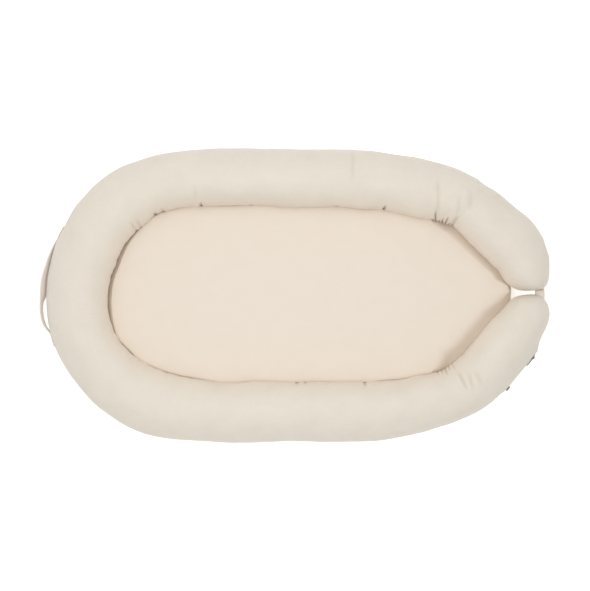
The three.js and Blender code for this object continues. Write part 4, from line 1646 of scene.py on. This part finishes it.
    def profile(self, edge: Edge, row: int, wave: float) -> tuple[Vector, float]:
        """Place a point of the cover in an outline point's column.

        Args:
            edge: the outline point of the column.
            row: the row, from the crown over the seam to the underside.
            wave: the pucker of the cloth at this column, from -1 to 1.

        Returns:
            The point, and the length of cloth from the seam to it.
        """
        spine = Vector((edge.spine, 0, 0))
        drop = self.edge_z - edge.seam_z
        if row <= self.crown_rows:
            share = 1 - (1 - row / self.crown_rows) ** self.crown_power
            inner = edge.point + edge.inward * edge.shoulder
            point = spine.lerp(inner, share)
            away = (point - inner).length
            crowned = (self.crown_z - self.edge_z) * math.exp(-away / self.crown_fall)
            point.z = self.crown_z - crowned
            fade = math.exp(-away / self.pucker_reach)
            dent = noise.noise(point * 14) * 0.0006
            dent += noise.noise(point * 33 + Vector((5, 1, 2))) * 0.0002
            point.z += dent * min(1.0, away / self.calm_reach) + self.pucker * wave * fade
            return point, away + edge.shoulder + drop
        row -= self.crown_rows
        if row <= self.shoulder_rows:
            share = row / self.shoulder_rows
            turn = math.pi / 2 * share
            inset = edge.shoulder * mix(1 - math.sin(turn), 1 - share, edge.slope)
            fall = mix(1 - math.cos(turn), share ** edge.power, edge.slope)
            point = edge.point + edge.inward * (inset - edge.spill * share ** self.spill_power)
            point.z = edge.seam_z + drop * (1 - fall) + self.pucker * wave * (1 - share)
            return point, (edge.shoulder + drop) * (1 - row / self.shoulder_rows)
        row -= self.shoulder_rows
        below = edge.seam_z - self.base_z
        if row <= self.tuck_rows:
            turn = math.pi / 2 * (1 - row / self.tuck_rows)
            inset = self.base_tuck * (1 - math.sin(turn)) - edge.spill * math.sin(turn)
            point = edge.point + edge.inward * inset
            point.z = edge.seam_z - below * math.cos(turn)
            return point, -(self.base_tuck + below) * row / self.tuck_rows
        row -= self.tuck_rows
        inner = edge.point + edge.inward * self.base_tuck
        point = inner.lerp(spine, row / self.base_rows)
        point.z = self.base_z
        return point, -(self.base_tuck + below) - (point - inner).length

    def build(self, bolster: Bolster, finishes: Finishes) -> list[bpy.types.Object]:
        """Make the mattress and the welt of its seam.

        Args:
            bolster: the bolster that the mattress lies in.
            finishes: the lounger's finishes.

        Returns:
            The mattress and the welt.
        """
        edges = self.outline(bolster)
        count = len(edges)
        scale = self.wave_scale
        waves = [
            noise.noise(Vector((edge.point.x * scale, edge.point.y * scale, 3.0)))
            for edge in edges
        ]
        rows = self.crown_rows + self.shoulder_rows + self.tuck_rows + self.base_rows

        def place_corner(column: int, row: int) -> tuple[Vector, tuple[float, float], float]:
            """Place a corner of the cover.

            Args:
                column: its place in the outline.
                row: its row.

            Returns:
                The point, its place on the cloth, and how dark the shade painted in the rim's
                crease is there.
            """
            edge = edges[column % count]
            point, away = self.profile(edge, row, waves[column % count])
            side_wall = edge.shoulder + self.edge_z - edge.seam_z
            flat = edge.point + edge.inward * (away - side_wall)
            where = flat if 0 <= away < side_wall else point
            # Painted shade mask: falls off from the seam's crease, or spreads over the slanted foot
            # rim.
            low, high = self.slant_shade_span
            crease = math.exp(-max(0.0, away) / (self.crease_shade_fall * side_wall))
            slanted = smooth_fall(away, low * side_wall, high * side_wall)
            slanted *= mix(0.3, 1.0, smooth_step(away, *self.slant_shade_rise))
            near = mix(crease, slanted, smooth_step(edge.shoulder, *self.slant_shade_shoulder))
            shift = self.base_map_shift if away < 0 else 0.0
            return point, (where.x, where.y + shift), edge.tone * near

        bm = cloth_grid(count, rows, place_corner, wrap=True)
        mattress = piece_from(bm, "mattress", finishes.cotton)
        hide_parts("mattress_foam", "mattress_top_panel", "mattress_base_panel")
        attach(mattress, "nest")
        path = []
        foot = edges[self.sewn_columns - 1: count - self.sewn_columns + 2]
        for i, edge in enumerate(foot):
            ahead = foot[min(i + 1, len(foot) - 1)].point - foot[max(i - 1, 0)].point
            along = ahead.normalized()
            middle = edge.point - edge.inward * self.welt_radius * self.welt_seat
            middle.z = edge.seam_z
            path.append(facing(along, UP.cross(along).normalized(), UP, middle))
        welt = piece_from(
            rounded_strip(path, [2 * self.welt_radius] * len(path), 2 * self.welt_radius),
            "mattress_welt", finishes.cotton,
        )
        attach(welt, "nest")
        return [mattress, welt]


@dataclass
class Handle:
    """The carry handle: a folded strap that stands off the bolster, sewn down at both ends.

    It is laid out on the chord between its ends: t runs along the chord, to the left, and o
    out of it. The rows of hang give the loop in millimetres: t, o, and the lean in degrees.
    """

    bolster: Bolster
    centre: Vector = field(default_factory=lambda: Vector((-0.174, 0, 0.049)))
    outer_radius: float = 0.257
    stand_off: float = 0.006
    half_angle: float = 18.0
    middle_angle: float = 3.5
    thickness: float = 0.003
    width: float = 0.024
    end_width: float = 0.014
    anchor_width: float = 0.018
    anchor_length: float = 0.024
    anchor_seat: float = 0.0002
    anchor_thickness: float = 0.002
    anchor_taper: float = 0.009
    anchor_steps: int = 14
    anchor_seam_share: float = 0.38
    anchor_seam_start: int = 6
    seam_share: float = 0.40
    end_gap: float = 0.0002
    end_power: int = 6
    blend_start: float = 0.006
    blend_end: float = 0.017
    reach: float = 4.0
    steps: int = 84
    hang: tuple[tuple[float, float, float], ...] = (
        (-79, 2.4, 0), (-75, 6.0, 1), (-70, 9.6, 2), (-63.5, 12.7, 3), (-55, 15.4, 3),
        (-46, 17.2, 3), (-36, 18.1, 3), (-28, 17.6, 6), (-21, 16.6, 17), (-12, 15.9, 23),
        (6, 15.5, 24), (15, 14.7, 23), (24, 12.8, 21), (33, 10.8, 19), (42, 8.7, 17),
        (51, 6.6, 15), (60, 4.2, 11), (70, 1.3, 6), (78, -1.2, 0),
    )

    def __post_init__(self) -> None:
        """Work out the chord that the handle hangs on."""
        reach = self.outer_radius + self.stand_off
        self.chord_half = reach * math.sin(math.radians(self.half_angle))
        self.chord_distance = reach * math.cos(math.radians(self.half_angle))
        turn = math.radians(self.middle_angle)
        self.out = Vector((-math.cos(turn), math.sin(turn), 0))
        self.along = Vector((math.sin(turn), math.cos(turn), 0))

    def point(self, t: float, o: float) -> Vector:
        """Return the point at t along the chord and o out of it."""
        return self.centre + self.along * t + self.out * (self.chord_distance + o)

    def edge(self, t: float) -> float:
        """Work out how far the bolster's outside lies past the chord.

        Args:
            t: distance along the chord.

        Returns:
            The distance.
        """
        turn = math.asin(t / self.outer_radius) + math.radians(self.middle_angle)
        radius = LEFT_ROUTE.head_radius + self.bolster.outer_reach(turn * LEFT_ROUTE.head_radius)
        return math.sqrt(radius ** 2 - t ** 2) - self.chord_distance

    def frame(self, t: float, o: float, ahead: Vector, lean: float = 0.0) -> Matrix:
        """Return a frame on the strap.

        Args:
            t: distance along the chord.
            o: distance out of the chord.
            ahead: direction of the strap at this place, to the left.
            lean: how far the strap's upper edge leans away from the bolster, in degrees.

        Returns:
            The frame, with x along the strap, y across it and z out of its face.
        """
        x = ahead.normalized()
        y = (Matrix.Rotation(math.radians(-lean), 3, x) @ UP).normalized()
        return facing(x, y, x.cross(y).normalized(), self.point(t, o))

    def frames(self, rows: Sequence[tuple[float, float, float]]) -> list[Matrix]:
        """Lay out a strap.

        Args:
            rows: t, o and the lean at each of its places.

        Returns:
            Its frames.
        """
        made = []
        for i, (t, o, lean) in enumerate(rows):
            before, after = rows[max(0, i - 1)], rows[min(len(rows) - 1, i + 1)]
            ahead = self.point(after[0], after[1]) - self.point(before[0], before[1])
            made.append(self.frame(t, o, ahead, lean))
        return made

    def loop(self) -> tuple[list[Matrix], list[float]]:
        """Lay out the free loop.

        Returns:
            Its frames and widths.
        """
        end = self.chord_half - self.end_gap
        first, last = (
            (1000 * t, 1000 * (self.edge(t) + self.anchor_seat), 0.0) for t in (-end, end)
        )
        table = [first, *self.hang, last]
        rows, widths = [], []
        for i in range(self.steps + 1):
            t = 1000 * end * (2 * i / self.steps - 1)
            near = abs(2 * i / self.steps - 1)
            calm = min(self.reach, 1000 * end - abs(t))
            rows.append((t / 1000, spread(table, t, 1, calm) / 1000, spread(table, t, 2, calm)))
            widths.append(mix(self.width, self.end_width, near ** self.end_power))
        return self.frames(rows), widths

    def anchor(self, side: Side) -> tuple[list[Matrix], list[float]]:
        """Lay out a sewn end.

        Args:
            side: the side that it is on.

        Returns:
            Its frames and widths, from right to left.
        """
        rows, widths = [], []
        for i in range(self.anchor_steps + 1):
            distance = self.anchor_length * i / self.anchor_steps
            t = side.value * (self.chord_half + distance)
            rows.append((t, self.edge(t) + self.anchor_seat, 0.0))
            taper = max(0.0, 1 - distance / self.anchor_taper)
            widths.append(mix(self.anchor_width, self.end_width, taper))
        return self.frames(rows[::side.value]), widths[::side.value]

    def outward(self, point: Vector) -> Vector:
        """Return the direction out of the handle's face at a point."""
        return (point - self.centre).normalized()

    def build(self, finishes: Finishes) -> list[bpy.types.Object]:
        """Make the loop, its two sewn ends and their stitches.

        Args:
            finishes: the lounger's finishes.

        Returns:
            The loop and its stitches, the two ends, and the stitches of the ends.
        """
        pieces = []
        frames, widths = self.loop()
        strip = rounded_strip(frames, widths, self.thickness)
        loop = piece_from(strip, "handle_loop", finishes.handle)
        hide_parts("carry_handle")
        rows = [
            [
                frame @ Vector((0, share * width, face * self.thickness * 0.5))
                for frame, width in zip(frames, widths)
            ]
            for share in (-self.seam_share, self.seam_share) for face in (-1, 1)
        ]
        seam = piece_from(stitch_rows(rows, self.outward), "handle_stitches", finishes.thread)
        start, end = (tuple(self.point(0, o)) for o in (self.blend_start, self.blend_end))
        for piece in (loop, seam):
            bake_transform(piece)
            pieces.append(piece)
        box_rows = []
        for side in Side:
            name = side.name.lower()
            frames, widths = self.anchor(side)
            strip = rounded_strip(frames, widths, self.anchor_thickness)
            anchor = piece_from(strip, f"handle_end_{name}", finishes.handle)
            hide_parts(f"handle_anchor_{name}")
            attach(anchor, "nest")
            pieces.append(anchor)
            sewn = frames[::side.value][self.anchor_seam_start:]
            face = -self.anchor_thickness * 0.5
            top, low = (
                [frame @ Vector((0, share * self.anchor_width, face)) for frame in sewn]
                for share in (self.anchor_seam_share, -self.anchor_seam_share)
            )
            box_rows += [top, low, [top[0], low[0]], [top[-2], low[-2]]]
            box_rows += [[top[0], low[-2]], [low[0], top[-2]]]
        stitches = stitch_rows(box_rows, self.outward, pitch=0.0028, length=0.0021)
        boxes = piece_from(stitches, "handle_end_stitches", finishes.thread)
        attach(boxes, "nest")
        pieces.append(boxes)
        return pieces


@dataclass
class Closure:
    """The closing strap: a tongue on the left tip, held by a tab on the right tip."""

    low_x: float = 0.42300
    high_x: float = 0.43900
    strap_z: float = 0.046
    tab_z: float = 0.0509
    thickness: float = 0.002
    hinge_y: float = 0.0107
    tip_y: float = -0.001
    tab_tip_y: float = 0.0085
    tab_root_y: float = -0.0155
    anchor_root_y: float = 0.0265
    root_gap: float = 0.0003
    steps: int = 14
    corner: float = 0.0025
    seam_inset: float = 0.0016
    seam_start: float = 0.004
    seam_end: float = 0.002

    def strip(
        self, name: str, start_y: float, end_y: float, z: float, material: bpy.types.Material,
        taper: bool,
    ) -> bpy.types.Object:
        """Make one flat length of the strap along y.

        Args:
            name: the piece's name.
            start_y: where it starts.
            end_y: where it ends.
            z: its middle height.
            material: its finish.
            taper: whether its far end is rounded off.

        Returns:
            The new object.
        """
        middle_x = (self.low_x + self.high_x) / 2
        across = Vector((1, 0, 0))
        along = Vector((0, math.copysign(1.0, end_y - start_y), 0))
        path, widths = [], []
        width = self.high_x - self.low_x
        for i in range(self.steps + 1):
            y = mix(start_y, end_y, i / self.steps)
            path.append(facing(along, across, along.cross(across), Vector((middle_x, y, z))))
            short = max(0.0, 1 - abs(end_y - y) / self.corner) if taper else 0.0
            widths.append(width - 2 * self.corner * (1 - math.sqrt(max(0.0, 1 - short ** 2))))
        return piece_from(rounded_strip(path, widths, self.thickness), name, material)

    def build(self, finishes: Finishes) -> list[bpy.types.Object]:
        """Make the tongue, its root on the left tip, the tab and its stitches.

        Args:
            finishes: the lounger's finishes.

        Returns:
            The four pieces.
        """
        cloth = finishes.strap
        tongue = self.strip("strap_tongue", self.hinge_y, self.tip_y, self.strap_z, cloth, True)
        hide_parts("closing_strap")
        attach(tongue, "strap")
        start_y = self.hinge_y + self.root_gap
        root = self.strip("strap_root", start_y, self.anchor_root_y, self.strap_z, cloth, False)
        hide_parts("strap_anchor")
        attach(root, "left_wing")
        tab = self.strip("strap_tab", self.tab_root_y, self.tab_tip_y, self.tab_z, cloth, True)
        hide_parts("loop_tab")
        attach(tab, "right_wing")
        pieces = [tongue, root, tab]
        top = self.tab_z + self.thickness * 0.48
        sides = self.low_x + self.seam_inset, self.high_x - self.seam_inset
        reach = self.tab_root_y + self.seam_start, self.tab_tip_y - self.seam_end
        rows = [[Vector((x, y, top)) for y in reach] for x in sides]
        rows.append([Vector((x, self.tab_tip_y - self.seam_inset, top)) for x in sides])
        sewn = stitch_rows(rows, lambda _: UP, pitch=0.0026, length=0.0018)
        stitches = piece_from(sewn, "strap_tab_stitches", finishes.thread)
        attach(stitches, "right_wing")
        pieces.append(stitches)
        return pieces


@dataclass
class Zips:
    """The two zips. Their solids have the right shape, and get their finishes and stitches here.

    The seams of the base zip are measured from its tape's edge, those of the wing zip from its
    middle. The section of the end stop gives its upper half: out of the wing, and up.
    """

    base_middle_x: float = -0.06
    base_seams: tuple[float, float] = (0.0026, 0.0062)
    base_seam_end: float = 0.002
    wing_seams: tuple[float, ...] = (0.0065, 0.0092, -0.0065, -0.0092)
    wing_z: float = 0.047
    wing_face: float = 0.0485
    wing_shift: float = 0.001
    wing_reach: float = 0.042
    tape_z: float = 0.0009
    stop_shift: float = 0.003
    stop_length: float = 0.0092
    stop_section: tuple[tuple[float, float], ...] = (
        (-0.0007, 0.0056), (0.0036, 0.0056), (0.0036, 0.0038), (0.0023, 0.0038),
    )
    stop_bevel: float = 0.0005

    def build(self, frame: dict, finishes: Finishes) -> list[bpy.types.Object]:
        """Dress the zips' nodes and sew their tapes down.

        Args:
            frame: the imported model.
            finishes: the lounger's finishes.

        Returns:
            The rows of stitches, and the wing zip's end stop.
        """
        looks = {
            "tape_a": finishes.tape, "tape_b": finishes.tape, "teeth_a": finishes.teeth,
            "teeth_b": finishes.teeth, "top_stop_a": finishes.metal, "top_stop_b": finishes.metal,
            "bottom_stop": finishes.metal, "slider": finishes.metal, "pull": finishes.metal,
        }
        for prefix in ("base_zip", "wing_zip"):
            for part, material in looks.items():
                refinish(frame["nodes"][f"{prefix}_{part}"], material)
        low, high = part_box("base_zip_tape_a")
        reach = low[1] + self.base_seam_end, high[1] - self.base_seam_end
        rows = []
        for inset in self.base_seams:
            x = low[0] + inset
            for shown in (x, 2 * self.base_middle_x - x):
                rows.append([Vector((shown, y, low[2])) for y in reach])
        sewn = stitch_rows(rows, lambda _: Vector((0, 0, -1)))
        base = piece_from(sewn, "base_zip_stitches", finishes.thread)
        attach(base, "nest")
        station = RIGHT_ROUTE.at(RIGHT_ROUTE.run_middle)
        face = station.middle + station.outward * (self.wing_face + self.tape_z)
        ends = [
            face + station.along * (self.wing_shift + reach)
            for reach in (-self.wing_reach, self.wing_reach)
        ]
        rows = [
            [Vector((end.x, end.y, self.wing_z + height)) for end in ends]
            for height in self.wing_seams
        ]
        sewn = stitch_rows(rows, lambda _: station.outward)
        wing = piece_from(sewn, "wing_zip_stitches", finishes.thread)
        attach(wing, "right_wing")
        return [base, wing, self.end_stop(station, finishes)]

    def end_stop(self, station: Station, finishes: Finishes) -> bpy.types.Object:
        """Make the wing zip's end stop: a metal clip with a raised shoulder on each tape.

        Args:
            station: the middle of the zip.
            finishes: the lounger's finishes.

        Returns:
            The clip. The slider's pull passes between its shoulders.
        """
        low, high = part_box("wing_zip_bottom_stop")
        middle = (Vector(low) + Vector(high)) / 2
        start = middle - station.along * (self.stop_shift + self.stop_length / 2)
        upper, lower = (
            [start + station.outward * out + UP * (half * up) for out, up in self.stop_section]
            for half in (1, -1)
        )
        bm = bmesh.new()
        face = bm.faces.new([bm.verts.new(point) for point in (*upper, *reversed(lower))])
        grown = bmesh.ops.extrude_face_region(bm, geom=[face])
        fresh = [item for item in grown["geom"] if isinstance(item, bmesh.types.BMVert)]
        bmesh.ops.translate(bm, verts=fresh, vec=station.along * self.stop_length)
        bmesh.ops.recalc_face_normals(bm, faces=bm.faces[:])
        bmesh.ops.bevel(
            bm, geom=bm.edges[:], offset=self.stop_bevel, segments=3, profile=0.5,
            affect="EDGES", material=-1,
        )
        put_in_order(bm)
        stop = piece_from(bm, "wing_zip_end_stop", finishes.metal)
        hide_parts("wing_zip_bottom_stop")
        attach(stop, "right_wing")
        return stop


@dataclass(frozen=True)
class Lamp:
    """A soft square lamp that shines on the middle of the floor."""

    name: str
    place: tuple[float, float, float]
    size: float
    power: float

    def build(self) -> None:
        """Hang the lamp."""
        data = bpy.data.lights.new(self.name, "AREA")
        data.shape = "SQUARE"
        data.size = self.size
        data.energy = self.power
        light = bpy.data.objects.new(self.name, data)
        light.location = self.place
        light.visible_camera = False
        light.rotation_euler = (-Vector(self.place)).to_track_quat("-Z", "Y").to_euler()
        bpy.context.scene.collection.objects.link(light)


@dataclass
class Studio:
    """Camera, floor and light."""

    sensor_width: float = 36.0
    view_end: float = 200.0
    metres_per_pixel: float = 0.0017547
    centre_x: float = 0.0013
    centre_y: float = -0.0009
    plane_z: float = 0.049
    distance: float = 3.0
    floor_size: float = 60.0
    floor_cells: int = 8
    sky_strength: float = 0.62
    lamps: tuple[Lamp, ...] = (
        Lamp("soft_box", (-0.05, 0.06, 1.5), 1.3, 10.5),
        Lamp("key_light", (-1.1, 1.7, 2.6), 1.4, 5.0),
    )

    def build(self) -> None:
        """Set up the camera, the floor, the lights and the view."""
        scene = bpy.context.scene
        lens = bpy.data.cameras.new("camera")
        lens.sensor_fit = "HORIZONTAL"
        lens.sensor_width = self.sensor_width
        lens.lens = self.sensor_width * self.distance / (IMAGE_WIDTH * self.metres_per_pixel)
        lens.clip_end = self.view_end
        camera = bpy.data.objects.new("camera", lens)
        camera.location = (self.centre_x, self.centre_y, self.plane_z + self.distance)
        scene.collection.objects.link(camera)
        scene.camera = camera
        bm = bmesh.new()
        cells = self.floor_cells
        bmesh.ops.create_grid(bm, x_segments=cells, y_segments=cells, size=self.floor_size / 2)
        floor = piece_from(bm, "floor", FloorFinish().build(), smooth=False)
        for lamp in self.lamps:
            lamp.build()
        world = bpy.data.worlds.new("studio")
        world.use_nodes = True
        sky = world.node_tree.nodes["Background"]
        sky.inputs[0].default_value = (1.0, 1.0, 1.0, 1.0)
        sky.inputs[1].default_value = self.sky_strength
        scene.world = world
        scene.view_settings.view_transform = "Standard"
        scene.view_settings.look = "None"


def dress_hidden(frame: dict, finishes: Finishes) -> None:
    """Give the hook and loop patches their finish."""
    for name in ("hook_patch", "loop_patch"):
        refinish(frame["nodes"][name], finishes.hooks)


def main() -> None:
    """Build the lounger in its studio."""
    logging.basicConfig(level=logging.INFO, format="%(name)s: %(message)s")
    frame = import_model()
    finishes = Finishes()
    Studio().build()
    bolster = Bolster()
    pieces = bolster.build(finishes)
    pieces += Mattress().build(bolster, finishes)
    pieces += Handle(bolster).build(finishes)
    pieces += Closure().build(finishes)
    pieces += Zips().build(frame, finishes)
    dress_hidden(frame, finishes)
    for piece in pieces:
        log.info("%s: %d faces", piece.name, len(piece.data.polygons))


if __name__ == "__main__":
    main()
